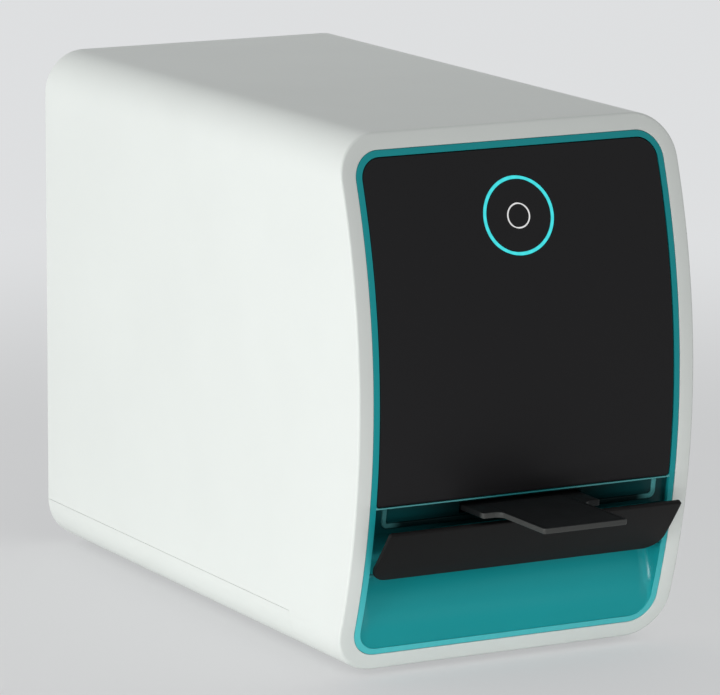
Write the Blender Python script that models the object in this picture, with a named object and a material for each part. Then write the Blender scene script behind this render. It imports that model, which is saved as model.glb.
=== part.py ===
"""Benchtop phosphor plate scanner: bowed case, drop flap, driven plate tray and scan optics.

Metres, +Z up, front facing -Y. The origin is the middle of the footprint at the level of the feet's
undersides, with the plate tray run out as it waits for a plate. A place named ..._DEPTH is measured
from the foremost line of the bowed front, and one named ..._DROP down from what its comment names.
"""

import math

import bmesh
import bpy
from mathutils import Matrix, Vector

# Clearances, cutters and facets
SEAT_GAP = 0.0003  # between pieces that seat on or in each other
RUNNING_GAP = 0.0003  # round a rod, screw or pin that slides or turns
OVERRUN = 0.004  # how far a cutter runs past what it cuts
CORNER_STEPS = 6
SIDE_ROWS = 10
ROUND_STEPS = 16
FINE_STEPS = 32
TUBE_STEPS = 20
POST_SIDES = 6
SLOT_END_STEPS = 4
TRAY_CORNER_STEPS = 3
SILL_ROWS = 14
SKIN_ROWS = 10
SLOT_WALL_ROWS = 4
SMOOTH_ANGLE_DEG = 30.0
ROUND_SHARE = 0.5  # the bevel profile that is part of a circle

# Case
CASE_WIDTH = 0.130
CASE_HEIGHT = 0.1836
CASE_DEPTH = 0.2459
CASE_CORNER = 0.0153
BOW_RISE = 0.0187  # how far top and bottom of the front lie behind its middle
WALL = 0.003
RIM_WIDTH = 0.00565
RIM_DEPTH = 0.008
FRONT_EDGE = 0.0004
BACK_EDGE = 0.0012
LEDGE_WIDTH = 0.009
LEDGE_THICKNESS = 0.005
SEAM_HEIGHT = CASE_CORNER
PAN_START_DEPTH = 0.050

# Feet
FOOT_STAND = 0.002  # how far a foot lifts the case
FOOT_SUNK = 0.0006
FOOT_RADIUS = 0.0075
FOOT_EDGE = 0.0006
FOOT_SIDE_INSET = 0.024
FOOT_END_INSET = 0.018

# Rear panel and what is on it
PANEL_RECESS = 0.0025
PANEL_THICKNESS = 0.002
SCREW_RADIUS = 0.0015
SCREW_LENGTH = 0.0055
SCREW_HEAD_RADIUS = 0.0028
SCREW_HEAD_HEIGHT = 0.0015
VENT_LENGTH = 0.034
VENT_WIDTH = 0.003
VENT_PITCH = 0.0065
VENT_ROWS = 6
VENT_COLUMNS = 2
VENT_COLUMN_PITCH = 0.044
VENT_DROP = 0.0311  # highest row, below the case's top
PORT_ROW_HEIGHT = 0.045  # over the case's underside
SWITCH_SIDE_INSET = 0.031
SWITCH_WIDTH = 0.015
SWITCH_HEIGHT = 0.021
SWITCH_DEPTH = 0.014
SWITCH_FLANGE = 0.0018
SWITCH_FLANGE_THICKNESS = 0.0014
SWITCH_WALL = 0.0015
ROCKER_TRAVEL_DEG = 18.0
ROCKER_THICKNESS = 0.0045
JACK_PLACE_X = 0.006
JACK_RADIUS = 0.0055
JACK_NUT_RADIUS = 0.0075
JACK_NUT_THICKNESS = 0.0018
JACK_BORE_RADIUS = 0.0032
JACK_PIN_RADIUS = 0.0011
JACK_LENGTH = 0.014
JACK_BORE_DEPTH = 0.009
PORT_SIDE_INSET = 0.029
PORT_WIDTH = 0.012
PORT_HEIGHT = 0.011
PORT_LENGTH = 0.016
PORT_WALL = 0.0008
PORT_TONGUE_WIDTH = 0.0056
PORT_TONGUE_HEIGHT = 0.0032

# Front bezel
BAND_WIDTH = 0.00228  # coloured band between the white rim and the glass
FLANGE_THICKNESS = 0.002
BEZEL_SKIN = 0.002
GLASS_THICKNESS = 0.003
GLASS_LOW_SHARE = 0.32625  # of the case's height, where the glass's lower edge lies
GLASS_LOW_CORNER = 0.001
BAY_WALL_DEPTH = 0.0026  # how far the wall round the slot lies behind the bow
BAY_CEILING_DROP = 0.0099  # below the glass
BAY_BACK_DEPTH = 0.022
CHUTE_ROLL = 0.026  # radius by which the sill rolls back into the bay
SLOT_HALF_WIDTH = 0.0237
SLOT_CLEARANCE = 0.0009

# Light seal round the slot
SEAL_SIDE_INSET = 0.0117
SEAL_BAND = 0.0017
SEAL_PROUD = 0.0005
SEAL_THICKNESS = 0.0012
SEAL_LOW_DROP = 0.0083  # below the glass
SEAL_TOP_DROP = 0.0008
SEAL_CORNER = 0.0026

# Touch key and light ring in the glass
KEY_DROP = 0.0303  # below the case's top
RING_RADIUS = 0.0136
RING_BAND = 0.0012
TOUCH_RADIUS = 0.00445
TOUCH_BAND = 0.0005
RING_THICKNESS = 0.0008
RING_GAP = 0.0002
KEY_BOARD_WIDTH = 0.044
KEY_BOARD_HEIGHT = 0.030

# Flap
FLAP_THICKNESS = 0.0018
FLAP_SIDE_GAP = 0.0005
FLAP_LOW_HEIGHT = 0.0339  # over the case's underside
FLAP_TOP_DROP = 0.0018  # below the glass
FLAP_LOW_CORNER = 0.0068
FLAP_TOP_CORNER = 0.0012
FLAP_OPEN_DEG = 28.0
HINGE_HEIGHT = 0.0352
HINGE_DEPTH_BEHIND_BOW = 0.0022
BARREL_RADIUS = 0.0016
HINGE_ROD_RADIUS = 0.0006
HINGE_ROD_SEAT = 0.0011  # how far the rod reaches into each side wall

# Plate tray
TRAY_REACH = 0.0384  # how far the tongue stands out in front of the bow
TRAY_DROP = 0.0049  # from the glass's lower edge to the tray's underside
TRAY_THICKNESS = 0.002
TONGUE_WIDTH = 0.032
TONGUE_LENGTH = 0.029
TRAY_WIDTH = 0.0455
TRAY_FILLET = 0.0028  # where the tongue widens
TRAY_CORNER = 0.001
TRAY_EDGE = 0.0003
PAD_LENGTH = 0.041
PAD_BORDER = 0.0009
PAD_SUNK = 0.0007

# Drive
CARRIAGE_WIDTH = 0.050
CARRIAGE_LENGTH = 0.032
CARRIAGE_THICKNESS = 0.0145
CARRIAGE_HOME_GAP = 0.0047
CARRIAGE_EDGE = 0.0008
RAIL_RADIUS = 0.003
RAIL_SPACING = 0.036
SCREW_SHAFT_RADIUS = 0.003
SCREW_JOURNAL_RADIUS = 0.002
NUT_RADIUS = 0.005
NUT_LENGTH = 0.012
NUT_FLANGE_RADIUS = 0.008
NUT_FLANGE_THICKNESS = 0.003
STAND_THICKNESS = 0.004
STAND_WIDTH = 0.070
DRIVE_BACK_ROOM = 0.01813  # between the motor and the case's back
MOTOR_SIZE = 0.028
MOTOR_LENGTH = 0.030
MOTOR_EDGE = 0.003
MOTOR_BORE_DEPTH = 0.006
MOTOR_EDGE_STEPS = 2
HOME_SWITCH_SIZE = (0.0062, 0.0041, 0.012)

# Chassis and optics
SIDE_ROOM = 0.012  # between the case's walls and the plates inside
CHASSIS_THICKNESS = 0.0023
CHASSIS_BACK_GAP = 0.005
DECK_CLEARANCE = 0.003  # over the photomultiplier
DECK_THICKNESS = 0.003
DECK_START_DEPTH = 0.045
DECK_BACK_ROOM = 0.0509
POST_RADIUS = 0.004
POST_INSET = 0.006
SCAN_LINE_DEPTH = 0.058
SCAN_WINDOW_LENGTH = 0.048
SCAN_WINDOW_WIDTH = 0.008
BEAM_RISE = 0.026  # beam height over the deck
LASER_BACK_INSET = 0.045  # from the deck's back edge
LASER_RADIUS = 0.007
LASER_END_GAP = 0.010  # from the scan mirror's axis
LASER_BLOCK_WIDTH = 0.024
LASER_BLOCK_LENGTH = 0.020
LASER_BLOCK_CROWN = 0.003
GALVO_RADIUS = 0.009
GALVO_HEIGHT = 0.017
MIRROR_HUB_RADIUS = 0.0025
MIRROR_HUB_HEIGHT = 0.003
SCAN_MIRROR_WIDTH = 0.012
SCAN_MIRROR_HEIGHT = 0.010
SCAN_MIRROR_THICKNESS = 0.0015
FOLD_DEG = 45.0  # how the scan mirror and the fold mirror turn the beam
LENS_PLACE_SHARE = 0.62  # of the way from the scan line to the scan mirror
LENS_WIDTH = 0.044
LENS_HEIGHT = 0.016
LENS_EDGE_THICKNESS = 0.003
LENS_BULGE = 0.003
LENS_STEPS = 8
FOLD_MIRROR_WIDTH = 0.050
FOLD_MIRROR_LENGTH = 0.014
FOLD_MIRROR_THICKNESS = 0.003
BRACKET_LEG = 0.004
BRACKET_CROWN = 0.005
TUBE_RADIUS = 0.014
TUBE_LENGTH = 0.068
TUBE_CLEARANCE = 0.006  # between the tray and the tube's clamp
TUBE_START_DEPTH = 0.092
GUIDE_MOUTH_WIDTH = 0.040
GUIDE_MOUTH_THICKNESS = 0.004
GUIDE_MOUTH_CLEARANCE = 0.0022
GUIDE_EXIT_RADIUS = 0.0125
GUIDE_STEPS = 24
GUIDE_LEVELS = 3
GUIDE_SQUARENESS_SHARE = 0.25  # 1 is a round mouth, and less is squarer
CLAMP_WIDTH = 0.036
CLAMP_LENGTH = 0.015
CLAMP_START_DEPTH = 0.110
CLAMP_SOLE = 0.002
LAMP_WIDTH = 0.044
LAMP_LENGTH = 0.008
LAMP_THICKNESS = 0.0045
LAMP_CLEARANCE = 0.0018

# Electronics
BOARD_THICKNESS = 0.0016
BOARD_START_DEPTH = 0.060
BOARD_BACK_ROOM = 0.0459
BOARD_POST_RADIUS = 0.003
BOARD_POST_INSET = 0.006
SUPPLY_SIZE = (0.050, 0.060, 0.018)
SUPPLY_EDGE = 0.0015

# Places that follow from the sizes
LENGTH = TRAY_REACH + CASE_DEPTH
FRONT = TRAY_REACH - LENGTH / 2
BACK = LENGTH / 2
BASE = FOOT_STAND
TOP = BASE + CASE_HEIGHT
MIDDLE = BASE + CASE_HEIGHT / 2
BOW_RADIUS = ((CASE_HEIGHT / 2) ** 2 + BOW_RISE**2) / (2 * BOW_RISE)
BEZEL_INSET = RIM_WIDTH + SEAT_GAP
INNER_INSET = RIM_WIDTH + BAND_WIDTH
FLANGE_DEPTH = RIM_DEPTH + SEAT_GAP + FLANGE_THICKNESS
PANEL_FACE = BACK - PANEL_RECESS
PANEL_BACK = PANEL_FACE - PANEL_THICKNESS
LEDGE_FACE = PANEL_BACK - SEAT_GAP
SWITCH_X = SWITCH_SIDE_INSET - CASE_WIDTH / 2
PORT_X = CASE_WIDTH / 2 - PORT_SIDE_INSET
GLASS_LOW = BASE + CASE_HEIGHT * GLASS_LOW_SHARE
BAY_CEILING = GLASS_LOW - BAY_CEILING_DROP
SEAL_HALF_WIDTH = CASE_WIDTH / 2 - SEAL_SIDE_INSET
KEY_Z = TOP - KEY_DROP
TRAY_LOW = GLASS_LOW - TRAY_DROP
TRAY_TOP = TRAY_LOW + TRAY_THICKNESS
CARRIAGE_TOP = TRAY_LOW - SEAT_GAP
RAIL_Z = CARRIAGE_TOP - CARRIAGE_THICKNESS / 2
CHASSIS_LOW = BASE + WALL + SEAT_GAP
CHASSIS_TOP = CHASSIS_LOW + CHASSIS_THICKNESS
INNER_WIDTH = CASE_WIDTH - 2 * (WALL + SIDE_ROOM)
TUBE_Z = TRAY_TOP + TUBE_CLEARANCE + CLAMP_SOLE + TUBE_RADIUS
DECK_LOW = TUBE_Z + TUBE_RADIUS + DECK_CLEARANCE
DECK_TOP = DECK_LOW + DECK_THICKNESS
DECK_FRONT = FRONT + DECK_START_DEPTH
DECK_BACK = BACK - DECK_BACK_ROOM
BEAM_Z = DECK_TOP + BEAM_RISE
SCAN_Y = FRONT + SCAN_LINE_DEPTH
LASER_Y = DECK_BACK - LASER_BACK_INSET
LASER_X = -INNER_WIDTH / 2
SLOPE_TOP = BEAM_Z + (FOLD_MIRROR_LENGTH / 2 + FOLD_MIRROR_THICKNESS + SEAT_GAP) / math.sqrt(2)
BRACKET_TOP = SLOPE_TOP + BRACKET_CROWN
BOARD_STACK = BOARD_THICKNESS + SEAT_GAP + SUPPLY_SIZE[2]
BOARD_LOW = (BRACKET_TOP + TOP - WALL - BOARD_STACK) / 2  # midway between the optics and the roof

# Finish name: colour, roughness, metallic
FINISHES = {
    "white_plastic": ((0.86, 0.88, 0.86), 0.35, 0.0),
    "white_base": ((0.84, 0.86, 0.85), 0.40, 0.0),
    "teal_plastic": ((0.02, 0.26, 0.27), 0.30, 0.0),
    "black_glass": ((0.012, 0.012, 0.013), 0.06, 0.0),
    "ring_light": ((0.08, 0.78, 0.80), 0.30, 0.0),
    "key_light": ((0.80, 0.80, 0.80), 0.30, 0.0),
    "pale_seal": ((0.30, 0.48, 0.47), 0.50, 0.0),
    "black_plastic": ((0.020, 0.020, 0.021), 0.42, 0.0),
    "grey_tray": ((0.10, 0.10, 0.10), 0.40, 0.0),
    "black_pad": ((0.014, 0.014, 0.014), 0.65, 0.0),
    "foot_rubber": ((0.03, 0.03, 0.03), 0.80, 0.0),
    "grey_panel": ((0.30, 0.31, 0.32), 0.45, 0.6),
    "steel": ((0.60, 0.61, 0.62), 0.28, 1.0),
    "dark_steel": ((0.08, 0.08, 0.09), 0.40, 1.0),
    "aluminium": ((0.72, 0.73, 0.74), 0.35, 1.0),
    "black_alloy": ((0.03, 0.03, 0.03), 0.40, 0.8),
    "brass": ((0.72, 0.52, 0.22), 0.30, 1.0),
    "mirror": ((0.90, 0.91, 0.92), 0.03, 1.0),
    "lens_glass": ((0.55, 0.62, 0.70), 0.05, 0.0),
    "clear_acrylic": ((0.75, 0.85, 0.90), 0.08, 0.0),
    "tube_shield": ((0.45, 0.46, 0.48), 0.35, 0.9),
    "lamp_white": ((0.85, 0.84, 0.78), 0.40, 0.0),
    "circuit_board": ((0.02, 0.16, 0.08), 0.50, 0.0),
}


def bow(z, behind=0.0):
    """The y of the bowed front at height z, or of a surface that lies behind it."""
    return FRONT + BOW_RADIUS - math.sqrt(BOW_RADIUS**2 - (z - MIDDLE) ** 2) + behind


def finish_material(finish):
    material = bpy.data.materials.get(finish) or bpy.data.materials.new(finish)
    colour, roughness, metallic = FINISHES[finish]
    material.use_nodes = True
    shader = material.node_tree.nodes["Principled BSDF"]
    shader.inputs["Base Color"].default_value = (*colour, 1.0)
    shader.inputs["Roughness"].default_value = roughness
    shader.inputs["Metallic"].default_value = metallic
    return material


def add_object(name, bm, pivot=(0, 0, 0)):
    """An object from a bmesh drawn in world places, with its origin at the pivot."""
    bmesh.ops.recalc_face_normals(bm, faces=bm.faces[:])
    bmesh.ops.translate(bm, verts=bm.verts[:], vec=-Vector(pivot))
    mesh = bpy.data.meshes.new(name)
    bm.to_mesh(mesh)
    bm.free()
    mesh.shade_smooth()
    mesh.set_sharp_from_angle(angle=math.radians(SMOOTH_ANGLE_DEG))
    obj = bpy.data.objects.new(name, mesh)
    obj.location = pivot
    bpy.context.scene.collection.objects.link(obj)
    return obj


def add_part(name, bm, finish, pivot=(0, 0, 0)):
    obj = add_object(name, bm, pivot)
    obj.data.materials.append(finish_material(finish))
    return obj


def add_cutter(name, bm):
    cutter = add_object(name, bm)
    cutter.hide_render = True
    cutter.display_type = "WIRE"
    return cutter


def combine(obj, other, operation="DIFFERENCE"):
    modifier = obj.modifiers.new(other.name, "BOOLEAN")
    modifier.operation = operation
    modifier.object = other


def block(low, high, edge=0.0):
    """A box between two corners, with its edges chamfered where an edge is given."""
    bm = bmesh.new()
    low, high = Vector(low), Vector(high)
    place = Matrix.Translation((low + high) / 2) @ Matrix.Diagonal((*(high - low), 1))
    bmesh.ops.create_cube(bm, size=1, matrix=place)
    if edge:
        bmesh.ops.bevel(bm, geom=bm.edges[:], offset=edge, segments=1, affect="EDGES")
    return bm


def loft(rings, cap="flat"):
    """Skins rings of equal length. The ends close flat, in rows that follow the bow, or on each other."""
    bm = bmesh.new()
    rows = [[bm.verts.new(point) for point in ring] for ring in rings]
    count = len(rows[0])
    if cap == "joined":
        pairs = list(zip(rows, rows[1:] + rows[:1]))
    else:
        pairs = list(zip(rows, rows[1:]))
    for first, second in pairs:
        for i in range(count):
            j = (i + 1) % count
            bm.faces.new((first[i], first[j], second[j], second[i]))
    if cap == "flat":
        bm.faces.new(rows[0])
        bm.faces.new(rows[-1])
    if cap == "rows":
        for row in (rows[0], rows[-1]):
            for i in range(count // 2 - 1):
                bm.faces.new((row[i], row[i + 1], row[count - 2 - i], row[count - 1 - i]))
    return bm


def arc(centre_x, centre_y, radius, start, end, steps):
    """Points on a circle from one angle to another, in degrees."""
    points = []
    for step in range(steps + 1):
        angle = math.radians(start + (end - start) * step / steps)
        points.append((centre_x + radius * math.cos(angle), centre_y + radius * math.sin(angle)))
    return points


def outline(half_width, low, high, low_corner, high_corner):
    """A rounded rectangle as (x, z), up the right side and down the left, with rows up its sides."""
    bottom = arc(half_width - low_corner, low + low_corner, low_corner, -90, 0, CORNER_STEPS)
    top = arc(half_width - high_corner, high - high_corner, high_corner, 0, 90, CORNER_STEPS)
    first, last = bottom[-1][1], top[0][1]
    side = [(half_width, first + (last - first) * row / SIDE_ROWS) for row in range(1, SIDE_ROWS)]
    right = bottom + side + top
    return right + [(-x, z) for x, z in reversed(right)]


def case_outline(inset):
    """The case's own section, moved in by an inset."""
    corner = CASE_CORNER - inset
    return outline(CASE_WIDTH / 2 - inset, BASE + inset, TOP - inset, corner, corner)


def bowed_ring(section, behind=0.0):
    return [(x, bow(z, behind), z) for x, z in section]


def flat_ring(section, y):
    return [(x, y, z) for x, z in section]


def prism(points, half_width):
    """A (y, z) outline carried across the case along X."""
    return loft([[(x, y, z) for y, z in points] for x in (-half_width, half_width)])


def square_ring(x, y, z, half_x, half_z):
    corners = ((-1, -1), (1, -1), (1, 1), (-1, 1))
    return [(x + side * half_x, y, z + level * half_z) for side, level in corners]


def turned(profile, centre, axis, steps=ROUND_STEPS, hollow=False):
    """Turns (distance, radius) pairs about an axis. A hollow profile closes on itself as a bore."""
    axes = {"X": ((1, 0, 0), (0, 1, 0)), "Y": ((0, 1, 0), (0, 0, 1)), "Z": ((0, 0, 1), (1, 0, 0))}
    along, side = (Vector(a) for a in axes[axis])
    other = along.cross(side)
    rings = []
    for distance, radius in profile:
        ring = []
        for step in range(steps):
            angle = 2 * math.pi * (step + 0.5) / steps
            offset = side * math.cos(angle) + other * math.sin(angle)
            ring.append(Vector(centre) + along * distance + offset * radius)
        rings.append(ring)
    return loft(rings, "joined" if hollow else "flat")


def rod(centre, axis, start, end, radius, steps=ROUND_STEPS):
    return turned([(start, radius), (end, radius)], centre, axis, steps)


def build_case():
    """The sleeve is one bowed, round-cornered tube, parted at the seam into the shell and the base pan."""

    def sleeve(name, finish):
        inner, ledge = case_outline(WALL), case_outline(LEDGE_WIDTH)
        rim, outer = case_outline(RIM_WIDTH), case_outline(0)
        rings = [
            flat_ring(inner, BACK),
            flat_ring(inner, LEDGE_FACE),
            flat_ring(ledge, LEDGE_FACE),
            flat_ring(ledge, LEDGE_FACE - LEDGE_THICKNESS),
            flat_ring(inner, LEDGE_FACE - LEDGE_THICKNESS),
            bowed_ring(inner, RIM_DEPTH),
            bowed_ring(rim, RIM_DEPTH),
            bowed_ring(rim),
            bowed_ring(case_outline(FRONT_EDGE)),
            bowed_ring(outer, FRONT_EDGE),
            flat_ring(outer, BACK - BACK_EDGE),
            flat_ring(case_outline(BACK_EDGE), BACK),
        ]
        return add_part(name, loft(rings, "joined"), finish)

    def pan_zone(name, grown):
        side = CASE_WIDTH / 2 + OVERRUN
        low = (-side, FRONT + PAN_START_DEPTH - grown, BASE - OVERRUN)
        return add_cutter(name, block(low, (side, BACK + OVERRUN, BASE + SEAM_HEIGHT + grown)))

    shell = sleeve("outer_shell", "white_plastic")
    pan = sleeve("base_pan", "white_base")
    combine(shell, pan_zone("cut_shell_pan", SEAT_GAP))
    combine(pan, pan_zone("keep_pan", 0.0), "INTERSECT")
    return shell, pan


def build_feet(pan):
    ends = (FRONT + PAN_START_DEPTH + FOOT_END_INSET, BACK - FOOT_END_INSET)
    side = CASE_WIDTH / 2 - FOOT_SIDE_INSET
    recess = FOOT_SUNK + SEAT_GAP
    profile = [
        (0, FOOT_RADIUS - FOOT_EDGE),
        (FOOT_EDGE, FOOT_RADIUS),
        (FOOT_STAND + FOOT_SUNK, FOOT_RADIUS),
    ]
    places = [(x, y) for y in ends for x in (-side, side)]
    for number, (x, y) in enumerate(places, 1):
        add_part(f"foot_{number}", turned(profile, (x, y, 0), "Z"), "foot_rubber")
        hole = rod((x, y, BASE), "Z", -OVERRUN, recess, FOOT_RADIUS + SEAT_GAP)
        combine(pan, add_cutter(f"cut_foot_{number}", hole))


def panel_screw_places():
    """In the ledge's four rounded corners, with the heads just clear of the wall."""
    reach = CASE_CORNER - WALL - SCREW_HEAD_RADIUS - SEAT_GAP - SEAT_GAP
    inset = CASE_CORNER - reach / math.sqrt(2)
    side = CASE_WIDTH / 2 - inset
    return [(x, z) for z in (BASE + inset, TOP - inset) for x in (-side, side)]


def build_rear_panel(shell, pan):
    section = case_outline(WALL + SEAT_GAP)
    sheet = loft([flat_ring(section, PANEL_BACK), flat_ring(section, PANEL_FACE)])
    panel = add_part("rear_panel", sheet, "grey_panel")
    seat = PANEL_FACE + SEAT_GAP
    for number, (x, z) in enumerate(panel_screw_places(), 1):
        profile = [
            (-SCREW_LENGTH, SCREW_RADIUS),
            (0, SCREW_RADIUS),
            (0, SCREW_HEAD_RADIUS),
            (SCREW_HEAD_HEIGHT, SCREW_HEAD_RADIUS),
        ]
        add_part(f"rear_screw_{number}", turned(profile, (x, seat, z), "Y"), "steel")
        hole = rod((x, seat, z), "Y", -SCREW_LENGTH - SEAT_GAP, OVERRUN, SCREW_RADIUS + SEAT_GAP)
        cutter = add_cutter(f"cut_rear_screw_{number}", hole)
        for holder in (shell, pan, panel):
            combine(holder, cutter)
    build_vents(panel)
    return panel


def build_vents(panel):
    """Rows of round-ended slots through the rear panel."""
    radius = VENT_WIDTH / 2
    run = VENT_LENGTH / 2 - radius
    for row in range(VENT_ROWS):
        for column in range(VENT_COLUMNS):
            x = (column - (VENT_COLUMNS - 1) / 2) * VENT_COLUMN_PITCH
            z = TOP - VENT_DROP - row * VENT_PITCH
            section = arc(x + run, z, radius, -90, 90, SLOT_END_STEPS)
            section += arc(x - run, z, radius, 90, 270, SLOT_END_STEPS)
            faces = (PANEL_BACK - OVERRUN, PANEL_FACE + OVERRUN)
            slot = loft([flat_ring(section, y) for y in faces])
            combine(panel, add_cutter(f"cut_vent_{row}_{column}", slot))


def build_power_switch(panel):
    """A snap-in frame, and the rocker that tips about a pin line inside it."""
    x, z = SWITCH_X, BASE + PORT_ROW_HEIGHT
    half_x, half_z = SWITCH_WIDTH / 2, SWITCH_HEIGHT / 2
    flange_low = PANEL_FACE + SEAT_GAP
    flange_top = flange_low + SWITCH_FLANGE_THICKNESS
    body_back = flange_low - SWITCH_DEPTH
    wide_x, wide_z = half_x + SWITCH_FLANGE, half_z + SWITCH_FLANGE
    rings = [
        square_ring(x, body_back, z, half_x, half_z),
        square_ring(x, flange_low, z, half_x, half_z),
        square_ring(x, flange_low, z, wide_x, wide_z),
        square_ring(x, flange_top, z, wide_x, wide_z),
    ]
    frame = add_part("switch_frame", loft(rings), "black_plastic")
    well_x, well_z = half_x - SWITCH_WALL, half_z - SWITCH_WALL
    low = (x - well_x, body_back + SWITCH_WALL, z - well_z)
    well = block(low, (x + well_x, flange_top + OVERRUN, z + well_z))
    combine(frame, add_cutter("cut_switch_well", well))
    low = (x - half_x - SEAT_GAP, PANEL_BACK - OVERRUN, z - half_z - SEAT_GAP)
    high = (x + half_x + SEAT_GAP, PANEL_FACE + OVERRUN, z + half_z + SEAT_GAP)
    combine(panel, add_cutter("cut_panel_switch", block(low, high)))

    # The rocker's two faces lean half the travel either way, and its back is round about the pivot.
    lean = math.radians(ROCKER_TRAVEL_DEG / 2)
    key_x = well_x - SEAT_GAP
    reach = (well_z - SEAT_GAP - ROCKER_THICKNESS * math.sin(lean)) / math.cos(lean)
    proud = ROCKER_THICKNESS * math.cos(lean) + reach * math.sin(lean)
    pivot = (x, BACK - SEAT_GAP - proud, z)
    crest = ROCKER_THICKNESS - reach * math.tan(lean)
    points = [
        (-ROCKER_THICKNESS / 2, -reach),
        (ROCKER_THICKNESS, -reach),
        (crest, 0),
        (ROCKER_THICKNESS, reach),
        (-ROCKER_THICKNESS / 2, reach),
        (-ROCKER_THICKNESS, 0),
    ]
    rocker = prism(points, key_x)
    place = Matrix.Translation(pivot) @ Matrix.Rotation(lean, 4, "X")
    bmesh.ops.transform(rocker, matrix=place, verts=rocker.verts[:])
    add_part("power_rocker", rocker, "black_plastic", pivot)


def build_power_jack(panel):
    """A barrel socket: a nut on the panel's face, the bore and its centre pin."""
    place = (JACK_PLACE_X, PANEL_FACE + SEAT_GAP, BASE + PORT_ROW_HEIGHT)
    mouth = JACK_NUT_THICKNESS
    floor = mouth - JACK_BORE_DEPTH
    profile = [
        (-JACK_LENGTH, JACK_RADIUS),
        (0, JACK_RADIUS),
        (0, JACK_NUT_RADIUS),
        (mouth, JACK_NUT_RADIUS),
        (mouth, JACK_BORE_RADIUS),
        (floor, JACK_BORE_RADIUS),
        (floor, JACK_PIN_RADIUS),
        (-SEAT_GAP, JACK_PIN_RADIUS),
    ]
    add_part("power_jack", turned(profile, place, "Y"), "black_plastic")
    hole = rod(place, "Y", -PANEL_THICKNESS - OVERRUN, OVERRUN, JACK_RADIUS + SEAT_GAP)
    combine(panel, add_cutter("cut_panel_jack", hole))


def build_data_port(panel):
    """A square socket shell with its contact tongue standing on the inner wall."""
    x, z = PORT_X, BASE + PORT_ROW_HEIGHT
    mouth = PANEL_FACE
    back = mouth - PORT_LENGTH
    half_x, half_z = PORT_WIDTH / 2, PORT_HEIGHT / 2
    shell = block((x - half_x, back, z - half_z), (x + half_x, mouth, z + half_z))
    port = add_part("data_port", shell, "steel")
    inner_x, inner_z = half_x - PORT_WALL, half_z - PORT_WALL
    low = (x - inner_x, back + PORT_WALL, z - inner_z)
    cavity = block(low, (x + inner_x, mouth + OVERRUN, z + inner_z))
    cutter = add_cutter("cut_port_cavity", cavity)
    tongue_x, tongue_z = PORT_TONGUE_WIDTH / 2, PORT_TONGUE_HEIGHT / 2
    low = (x - tongue_x, back, z - tongue_z)
    tongue = block(low, (x + tongue_x, mouth - PORT_WALL, z + tongue_z))
    combine(cutter, add_cutter("keep_port_tongue", tongue))
    combine(port, cutter)
    low = (x - half_x - SEAT_GAP, PANEL_BACK - OVERRUN, z - half_z - SEAT_GAP)
    high = (x + half_x + SEAT_GAP, PANEL_FACE + OVERRUN, z + half_z + SEAT_GAP)
    combine(panel, add_cutter("cut_panel_port", block(low, high)))


def chute(z):
    """The y of the sill that rolls back from the bezel's foot, up to the bay's back wall."""
    rise = z - (BASE + INNER_INSET)
    return min(bow(z, rise**2 / (2 * CHUTE_ROLL)), FRONT + BAY_BACK_DEPTH)


def heights(low, high, rows):
    return [low + (high - low) * row / rows for row in range(rows + 1)]


def hinge_place():
    z = BASE + HINGE_HEIGHT
    return (0, bow(z, HINGE_DEPTH_BEHIND_BOW), z)


def seal_strip(thickness, grow):
    """The light seal, a bowed U round the slot that ends under the glass, or the groove that takes it."""
    front = BAY_WALL_DEPTH - SEAL_PROUD
    high = GLASS_LOW - SEAL_TOP_DROP + grow
    paths = []
    for inset in (-grow, SEAL_BAND + grow):
        half, low, corner = SEAL_HALF_WIDTH - inset, GLASS_LOW - SEAL_LOW_DROP + inset, SEAL_CORNER - inset
        right = arc(half - corner, low + corner, corner, -90, 0, CORNER_STEPS)
        right += [(half, z) for z in heights(low + corner, high, SLOT_WALL_ROWS)[1:]]
        paths.append([(-x, z) for x, z in reversed(right)] + right)
    section = paths[0] + paths[1][::-1]
    return loft([bowed_ring(section, front), bowed_ring(section, front + thickness)], "rows")


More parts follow.
